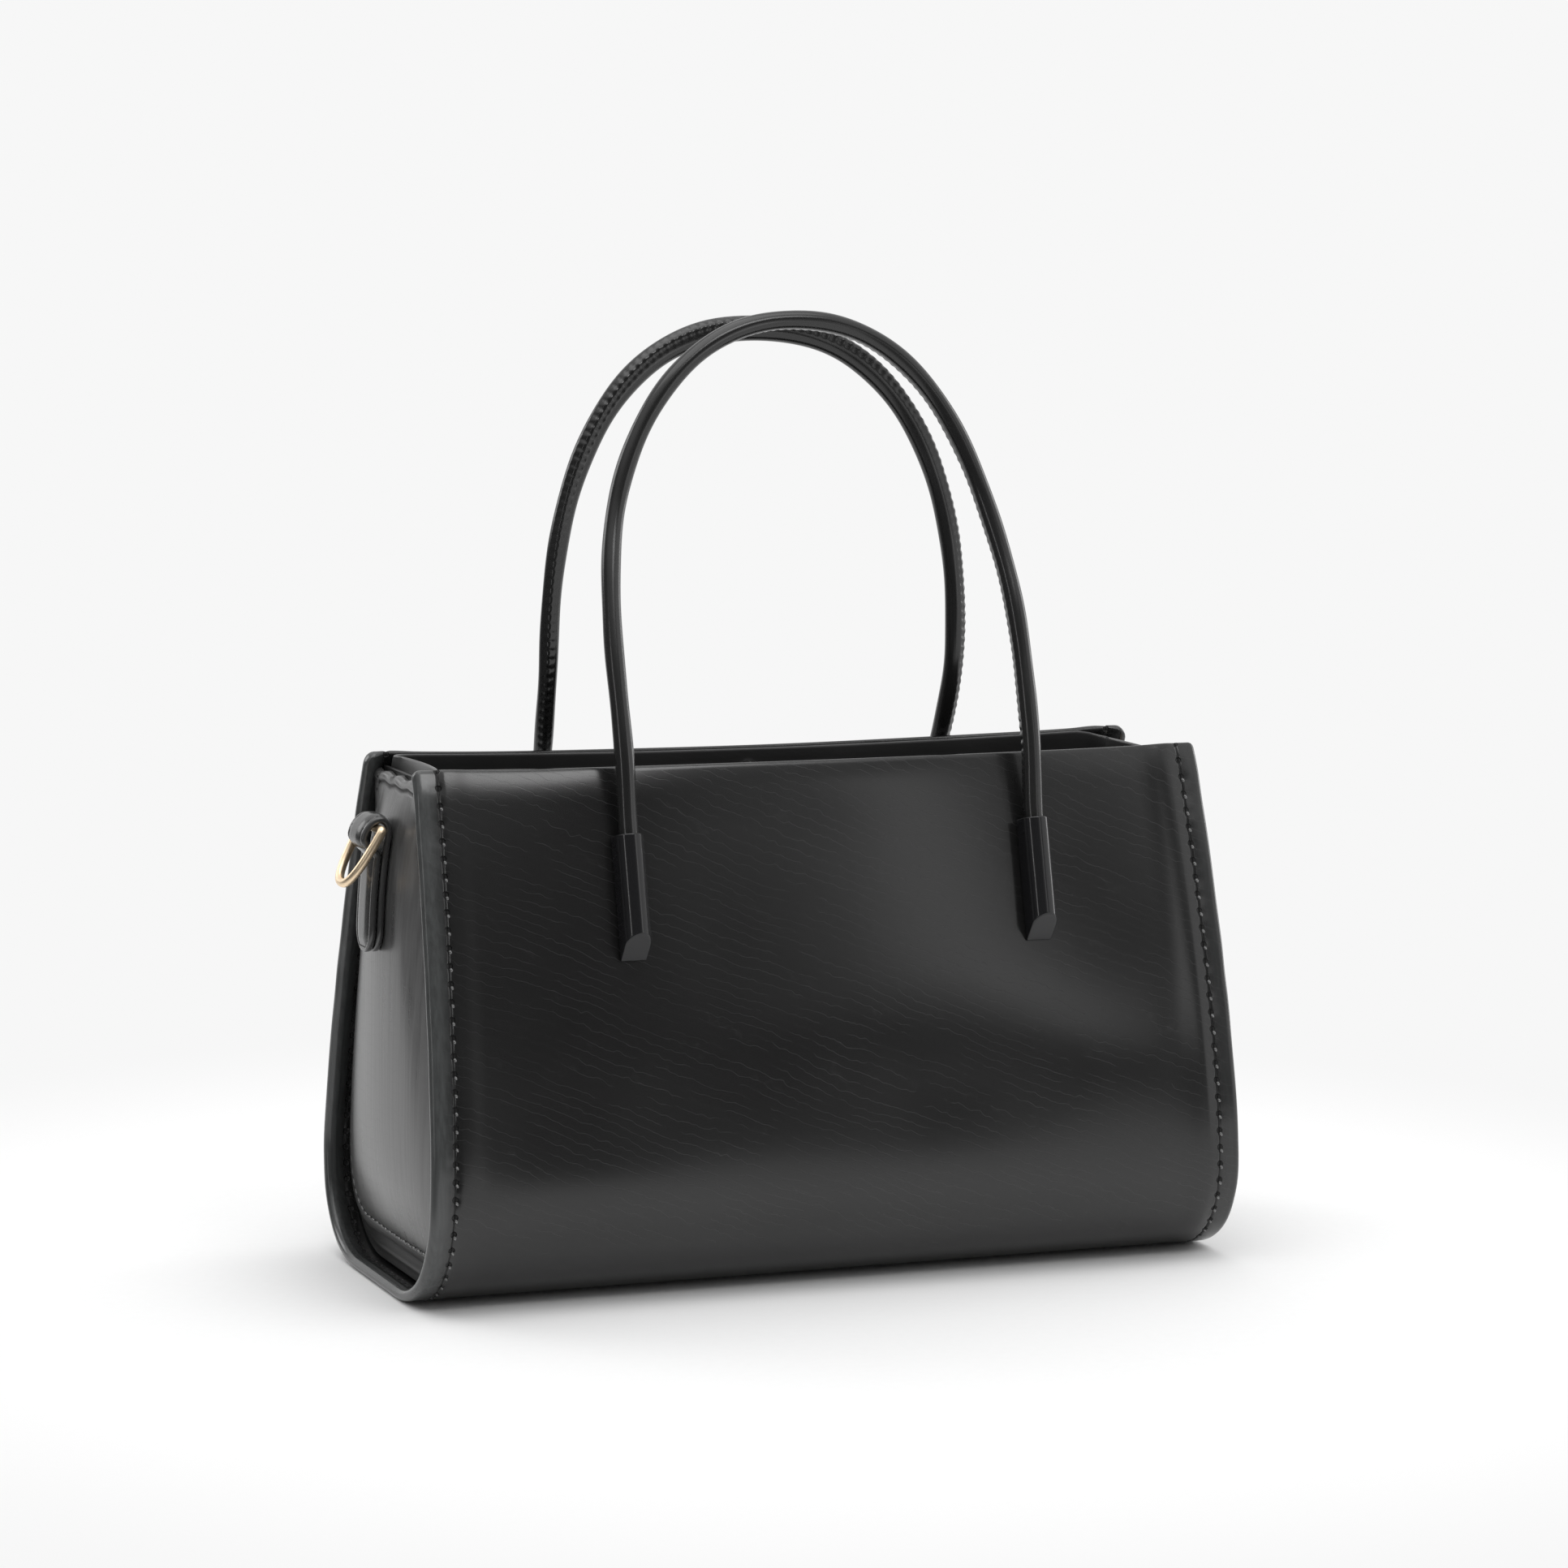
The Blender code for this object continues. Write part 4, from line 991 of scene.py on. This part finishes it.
facing_t = wall_t(np.concatenate([np.linspace(BODY_HEIGHT - FACING_HEIGHT, BODY_HEIGHT - 0.0012, 9),
                                  BODY_HEIGHT - MM * np.array([0.9, 0.6, 0.45])]))
facing_thin = [1.0] * 9 + [0.85, 0.55, 0.25]
outer, inner = [], []
for t, thin in zip(facing_t, facing_thin):
    bow = FACING_BOW * float(soft_step(t, wall_t(0.160), 3))
    for loops, way in ((outer, -1), (inner, 1)):
        step = (1 + way * thin) * FACING_THICKNESS / 2
        loops.append(hung_loop(t, BOARD_FACE + step, END_STACK + step, bow))
facing = shell("mouth_facing_leather", np.array(outer), np.array(inner), around=True)
dress(facing, facing_leather, "body", "black_leather", "mouth_facing")

ease = (BODY_HEIGHT - FACING_HEIGHT - 0.006, BODY_HEIGHT - FACING_HEIGHT)
lining_t = np.concatenate([np.linspace(1, 2, 12), np.linspace(2, wall_t(ease[0]), 16)[1:],
                           np.linspace(wall_t(ease[0]), wall_t(ease[1] + 0.003), 6)[1:]])
outer, inner = [], []
for t in lining_t:
    drop = np.interp(t, [1, 2, wall_t(ease[0]), wall_t(ease[1])],
                     [BASE_LINING_FACE, LINING_FACE, LINING_FACE, FACING_INSIDE])
    gap = END_STACK + FACING_THICKNESS + FIT
    outer.append(hung_loop(t, drop, gap))
    inner.append(hung_loop(t, drop + LINING_THICKNESS, gap + LINING_THICKNESS))
# The loops go on shrinking across the base until they meet in its middle.
faces = [np.array([loops[0] * [share, share, 1] for share in (0.0, 0.33, 0.66)] + loops)
         for loops in (outer, inner)]
tub = shell("lining_cloth_tub", *faces, around=True)
dress(tub, lining_cloth, "body", "lining_cloth", "lining")

# %% [markdown]
# ## Ring tabs
# Each tab is one padded strap, folded over the ring's bar into a fat loop and stitched down. The path of
# its middle line comes from the part. Its edges are turned under, a line of stitches runs inside each
# edge, and the padding between the lines catches a bright stripe.

# %% Strap path
TAB_WIDTH = 0.016
TAB_THICKNESS = 0.0022
TAB_TOP = BODY_HEIGHT - 0.0176
TAB_FOOT = TAB_TOP - 0.0444
LOOP_HEIGHT = 0.0135
LOOP_REACH = 0.0106


def strap_path():
    inner = FIT + TAB_THICKNESS / 2
    outer = inner + TAB_THICKNESS + FIT
    neck = TAB_TOP - LOOP_HEIGHT
    reach = LOOP_REACH - TAB_THICKNESS / 2
    crown = LOOP_HEIGHT * 0.42
    shoulder = TAB_TOP - TAB_THICKNESS / 2 - crown
    tip = TAB_FOOT + MM * np.array([0, 0.15, 0.45, 0.9, 1.6, 2.5, 3.6, 5, 6.5, 8])
    up = np.concatenate([tip, np.linspace(TAB_FOOT + 0.010, shoulder, 18)])
    turn = np.linspace(0, np.pi, 25)[1:]
    fall = np.linspace(0, 1, 13)[1:]
    down = np.concatenate([np.linspace(neck, TAB_FOOT + 0.010, 13)[1:], tip[::-1]])
    away = np.concatenate([up * 0 + inner, (reach + inner) / 2 - (reach - inner) / 2 * np.cos(turn),
                           outer + (reach - outer) * (1 + np.cos(np.pi * fall)) / 2, down * 0 + outer])
    height = np.concatenate([up, shoulder + crown * np.sin(turn), shoulder - (shoulder - neck) * fall, down])
    return away, height


# %% Straps
line = np.stack(strap_path(), -1)
away, height = line.T
along = unit(np.gradient(line, axis=0))
tongue = TAB_WIDTH / 2
above = np.clip((height - TAB_FOOT) / tongue, 0.004, 1)
strap_half = (tongue * np.sqrt(1 - (1 - above) ** 2))[:, None]
edge = MM * np.array([0, 0.12, 0.35, 0.7, 1.1, 1.5, 1.85, 2.1, 2.35, 2.8, 3.4, 4.2])
across = np.concatenate([-(tongue - edge), np.linspace(-0.0032, 0.0032, 7), (tongue - edge)[::-1]]) / tongue
strap_y = across * strap_half
gap = np.minimum(strap_half - np.abs(strap_y), (height - TAB_FOOT)[:, None])
thick = (TAB_THICKNESS / 2 - rounded(np.maximum(gap, 0), TAB_THICKNESS / 2 * 0.9))
pad = MM * (0.60 * soft_step(gap, 0.0020, 0.0050) - 0.25 * ridge(gap, 0.0021, 0.0004))
run = lengths(line)[:, None] + strap_y * 0
base = gusset_reach(np.zeros_like(height), height, gusset_half(height)) + away
for word, side in SIDES:
    faces = [np.stack([side * (base[:, None] - along[:, 1:] * shift), strap_y,
                       height[:, None] + along[:, :1] * shift], -1) for shift in (thick + pad, -thick)]
    strap = shell(word + "_tab_strap", *faces, end=gap, run=run)
    dress(strap, strap_leather, "body", "black_leather", word + "_ring_tab")

# %% [markdown]
# ## Tubes
# Rings and rolled handles are tubes along a smooth path. A side direction is carried along the path
# without twist, and each ring of points may have its own radius at every angle, which gives the handles
# their raised seam.

# %% Tubes
def even_path(points, step, passes, closed=False):
    """Places evenly spaced along a line and then smoothed, and the length up to each of them."""
    points = np.asarray(points, float)
    if closed:
        points = np.concatenate([points, points[:1]])
    length = lengths(points)
    marks = np.linspace(0, length[-1], max(8, int(round(length[-1] / step))) + 1)
    path = np.stack([np.interp(marks, length, points[:, axis]) for axis in range(3)], -1)
    path = path[:-1] if closed else path
    for _ in range(passes):
        smoothed = (np.roll(path, 1, 0) + 2 * path + np.roll(path, -1, 0)) / 4
        if not closed:
            smoothed[[0, -1]] = path[[0, -1]]
        path = smoothed
    return path, marks


def carried(path, first, closed=False):
    """Two directions across the path at each of its points."""
    along = np.roll(path, -1, 0) - np.roll(path, 1, 0) if closed else np.gradient(path, axis=0)
    along = unit(along)
    side = np.empty_like(path)
    current = np.asarray(first, float)
    for number, way in enumerate(along):
        current = unit(current - way * (current @ way))
        side[number] = current
    return side, np.cross(along, side)


def loft(name, points, closed=False, **values):
    """Rings of points joined one to the next, with a face over each open end. The rest places let the
    creases stay on the leather when it bends."""
    rows, sides = points.shape[:2]
    index = np.arange(rows * sides).reshape(rows, sides)
    index = np.hstack([index, index[:, :1]])
    if closed:
        faces = cells(np.vstack([index, index[:1]])).tolist()
    else:
        faces = cells(index).tolist() + index[[0, -1], :-1].tolist()
    mesh = bpy.data.meshes.new(name)
    mesh.from_pydata(points.reshape(-1, 3).tolist(), [], faces)
    mesh.attributes.new("rest", "FLOAT_VECTOR", "POINT").data.foreach_set("vector", points.reshape(-1))
    give_numbers(mesh, (rows, sides), values)
    return tidied(name, mesh)


def around(path, side, third, radius):
    """Rings round a path. radius has a row for each of its points and a column for each angle."""
    angle = np.linspace(0, 2 * np.pi, radius.shape[1], endpoint=False)[None, :, None]
    out = np.cos(angle) * side[:, None] + np.sin(angle) * third[:, None]
    return path[:, None] + radius[..., None] * out


# %% [markdown]
# ## D-rings
# The ring is one bent wire: a straight bar inside the strap's loop and a bow that hangs from it, resting
# away from the panel as the picture shows it.

# %% Rings
RING_WIRE = 0.0029
RING_WIDTH = 0.0212
RING_DROP = 0.0204
RING_POWER = 2.4
RING_ANGLE = math.radians(30)


def ring_bar(side):
    height = TAB_TOP - TAB_THICKNESS - RING_WIRE / 2 - 1.5 * FIT
    middle = (TAB_TOP + height) / 2
    reach = float(gusset_reach(0.0, middle, 1.0))
    return np.array([side * (reach + (FIT + LOOP_REACH) / 2), 0, height])


turn = np.linspace(0, np.pi, 90)
wide = np.sign(np.cos(turn)) * np.abs(np.cos(turn)) ** (2 / RING_POWER) * RING_WIDTH / 2
down = -np.sin(turn) ** (2 / RING_POWER) * RING_DROP
bar = np.linspace(-0.94, 0.94, 30) * RING_WIDTH / 2
loop = np.concatenate([np.stack([bar * 0, bar, bar * 0], -1), np.stack([wide * 0, wide, down], -1)])
loop = even_path(loop, 0.0006, 3, closed=True)[0]
for word, side in SIDES:
    lean = side * -RING_ANGLE
    path = np.stack([loop[:, 2] * math.sin(lean), loop[:, 1], loop[:, 2] * math.cos(lean)], -1)
    path = path + ring_bar(side)
    wire = around(path, *carried(path, (1, 0, 0), closed=True), np.full((len(path), 20), RING_WIRE / 2))
    ring = loft(word + "_ring_gold", wire, closed=True)
    dress(ring, gold_metal, word + "_d_ring", "pale_gold", word + "_ring")

# %% [markdown]
# ## Metal ends
# Each handle leg stands in a black metal end: a bar of D section whose flat back lies on the wall and
# whose foot is cut on a slant. A real one is cast and polished, so no edge is sharp. It is lofted from
# the D outline to the round bore, and a bevel breaks its edges.

# %% Where the ends sit
HANDLE_SPACING = 0.141
END_HEIGHT = BODY_HEIGHT - 0.042
END_LENGTH = 0.040
END_WIDTH = 0.0090
END_DEPTH = 0.0093
END_CUT = 0.0078
BORE_EASE = 0.0002
BORE_DEPTH = 0.013
CORD_RADIUS = 0.0032
CORD_OFFSET = FIT + END_DEPTH - END_WIDTH / 2


def end_frame(side_x, side_y):
    """Axes on the wall: local Z up the wall, local -Y out of the bag."""
    x = side_x * HANDLE_SPACING / 2
    t = wall_t(END_HEIGHT)
    origin = layer(x, side_y * t, 0.0)
    low, high = np.array(outline(x, t - 0.02)), np.array(outline(x, t + 0.02))
    along = unit(high - low)
    up = Vector((0, -side_y * along[0], along[1]))
    inside = Vector((0, side_y * along[1], along[0]))
    turn = Matrix((inside.cross(up), inside, up)).transposed().to_4x4()
    return Matrix.Translation(Vector(origin)) @ turn


def metal_end(name, side_x, side_y):
    turns = np.linspace(np.pi, 2 * np.pi, 33)
    centre = np.array([0, -CORD_OFFSET])
    curve = centre + END_WIDTH / 2 * np.stack([np.cos(turns), np.sin(turns)], -1)
    back = np.stack([np.linspace(END_WIDTH / 2, -END_WIDTH / 2, 9), np.full(9, -FIT)], -1)
    section = np.concatenate([curve, back])
    bore = centre + unit(section - centre) * (CORD_RADIUS + BORE_EASE)
    top = END_LENGTH / 2
    foot = (-section[:, 1] - FIT) * END_CUT / END_DEPTH - top
    rings = np.array([np.column_stack([ring, height + ring[:, 0] * 0]) for ring, height in
                      ((section, foot), (section, top), (bore, top), (bore, top - BORE_DEPTH))])
    seat = np.array(end_frame(side_x, side_y))
    piece = loft(name, rings @ seat[:3, :3].T + seat[:3, 3])
    edges = piece.modifiers.new("polished edges", "BEVEL")
    edges.width = 0.0006
    edges.segments = 4
    edges.limit_method = "ANGLE"
    edges.angle_limit = math.radians(38)
    edges.harden_normals = True
    return piece


for front, side_y in (("front", 1), ("back", -1)):
    for hand, side_x in (("left", -1), ("right", 1)):
        label = f"{front}_{hand}_end"
        dress(metal_end(label + "_polished", side_x, side_y), black_metal, "body", "black_metal", label)

# %% [markdown]
# ## Rolled handles
# A rolled handle is a strip of leather closed round a cord. Where its two edges meet, a narrow welt
# stands up, and the stitches pull it into small even puckers. The tube starts down inside one metal end
# and runs up, over and down into the other, on the same curve as the part's own handle.

# %% Handle path
# Each handle: height of its straight legs, height of the arch, how much it widens, how square the arch
# is, and how far it leans towards the middle of the bag at some heights.
FRONT_HANDLE = (0.0465, 0.1577, 0.0004, 2.21,
                ((0.0, 0.0), (0.022, 0.0032), (0.062, 0.0159), (0.102, 0.0304), (0.1577, 0.0387)))
BACK_HANDLE = (0.0448, 0.1537, 0.0022, 2.32,
               ((0.0, 0.0), (0.022, 0.0088), (0.045, 0.0146), (0.110, 0.0148), (0.1537, 0.0116)))


def leaning(stations, height):
    """Smooth distance towards the middle of the bag, through stations of height and distance."""
    marks, values = np.array(stations).T
    slopes = np.gradient(values, marks)
    slopes[1:-1] = (values[2:] - values[:-2]) / (marks[2:] - marks[:-2])
    number = np.clip(np.searchsorted(marks, height, "right") - 1, 0, len(marks) - 2)
    span = marks[number + 1] - marks[number]
    s = (height - marks[number]) / span
    level = (2 * s ** 3 - 3 * s ** 2 + 1) * values[number] + (3 * s ** 2 - 2 * s ** 3) * values[number + 1]
    bend = (s ** 3 - 2 * s ** 2 + s) * slopes[number] + (s ** 3 - s ** 2) * slopes[number + 1]
    return level + span * bend


def handle_path(side_y, spring, rise, spread, power, lean):
    foot = HANDLE_SPACING / 2
    share = np.linspace(0, 1, 60)[:-1]
    turn = np.linspace(0, np.pi / 2, 240)
    wide = np.concatenate([foot + spread * np.sin(np.pi / 2 * share),
                           (foot + spread) * np.maximum(np.cos(turn), 0) ** (2 / power)])
    tall = np.concatenate([spring * share, spring + (rise - spring) * np.sin(turn) ** (2 / power)])
    inward = side_y * leaning(lean, np.minimum(tall, rise))
    seat = end_frame(1, side_y)
    pivot = seat @ Vector((0, -CORD_OFFSET, END_LENGTH / 2 + CORD_RADIUS + FIT))
    half = np.stack([wide, pivot.y + inward, pivot.z + tall], -1)
    sunk = [list(seat @ Vector((0, -CORD_OFFSET, END_LENGTH / 2 - depth)))
            for depth in (0.012, 0.008, 0.004, 0.0)]
    half = np.concatenate([sunk, half])
    left = half * [-1, 1, 1]
    return np.concatenate([left, half[-2::-1]])


# %% Handles
WELT_PITCH = 0.0029
WELT_SIDE = 0.50
TOP_SWELLING = 0.0012
FREE_FROM = (0.0125, 0.0150)

for front, side_y, shape, seam_way, twist in (("front", 1, FRONT_HANDLE, (0.75, 0.65, 0.0), 0),
                                              ("back", -1, BACK_HANDLE, (-0.10, -1.0, 0.0), -75)):
    path, marks = even_path(handle_path(side_y, *shape), 0.00045, 90)
    first, third = carried(path, seam_way)
    spin = np.radians(twist) * (marks / marks[-1])[:, None]
    first, third = (np.cos(spin) * first + np.sin(spin) * third,
                    np.cos(spin) * third - np.sin(spin) * first)
    turn = np.linspace(0, 2 * np.pi, 48, endpoint=False)
    turn = np.where(turn > np.pi, turn - 2 * np.pi, turn)[None, :]
    beat = beating(marks, WELT_PITCH)[:, None]
    welt = (0.00030 + 0.00026 * (1 - beat)) * ridge(turn, 0.0, 0.30)
    holes = beat ** 3 * ridge(np.abs(turn), WELT_SIDE, 0.18)
    slow = 0.00008 * ripple(marks, 0.031)[:, None]
    if front == "back":
        top = ridge(marks / marks[-1], 0.5, 0.20)[:, None]
        slow = slow + TOP_SWELLING * top * np.sin(turn + spin) ** 2
    free = soft_step(np.minimum(marks, marks[-1] - marks)[:, None], *FREE_FROM)
    radius = CORD_RADIUS - 0.0001 + (welt - 0.00018 * holes + slow) * free
    handle = loft(front + "_handle_roll", around(path, first, third, radius), shade=holes * 0.22 * free)
    dress(handle, handle_leather, None, "black_leather", front + "_handle_cover", front + "_handle_core",
          front + "_left_cord_end", front + "_right_cord_end")
    pivot = end_frame(1, side_y) @ Vector((0, -CORD_OFFSET, END_LENGTH / 2))
    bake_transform(handle)

# %% [markdown]
# ## What stays from the part
# Boards, plates, screws and the magnetic snap keep the part's own shapes, because they are hard, simple
# and right. They only take their finishes.

# %% Finishes for the part's own pieces
for name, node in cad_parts.items():
    if node.hide_render:
        continue
    material = board_finish if name.endswith("board") else steel_metal
    node.data.materials.clear()
    node.data.materials.append(material)
    print(name, "takes", material.name)

# %% [markdown]
# ## Sizes
# The dressed bag has to stay the size of the part, so both boxes are printed.

# %% Sizes and finish
dressed_box = [list(corner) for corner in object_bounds()]
show_box("dressed box, mm:", dressed_box)
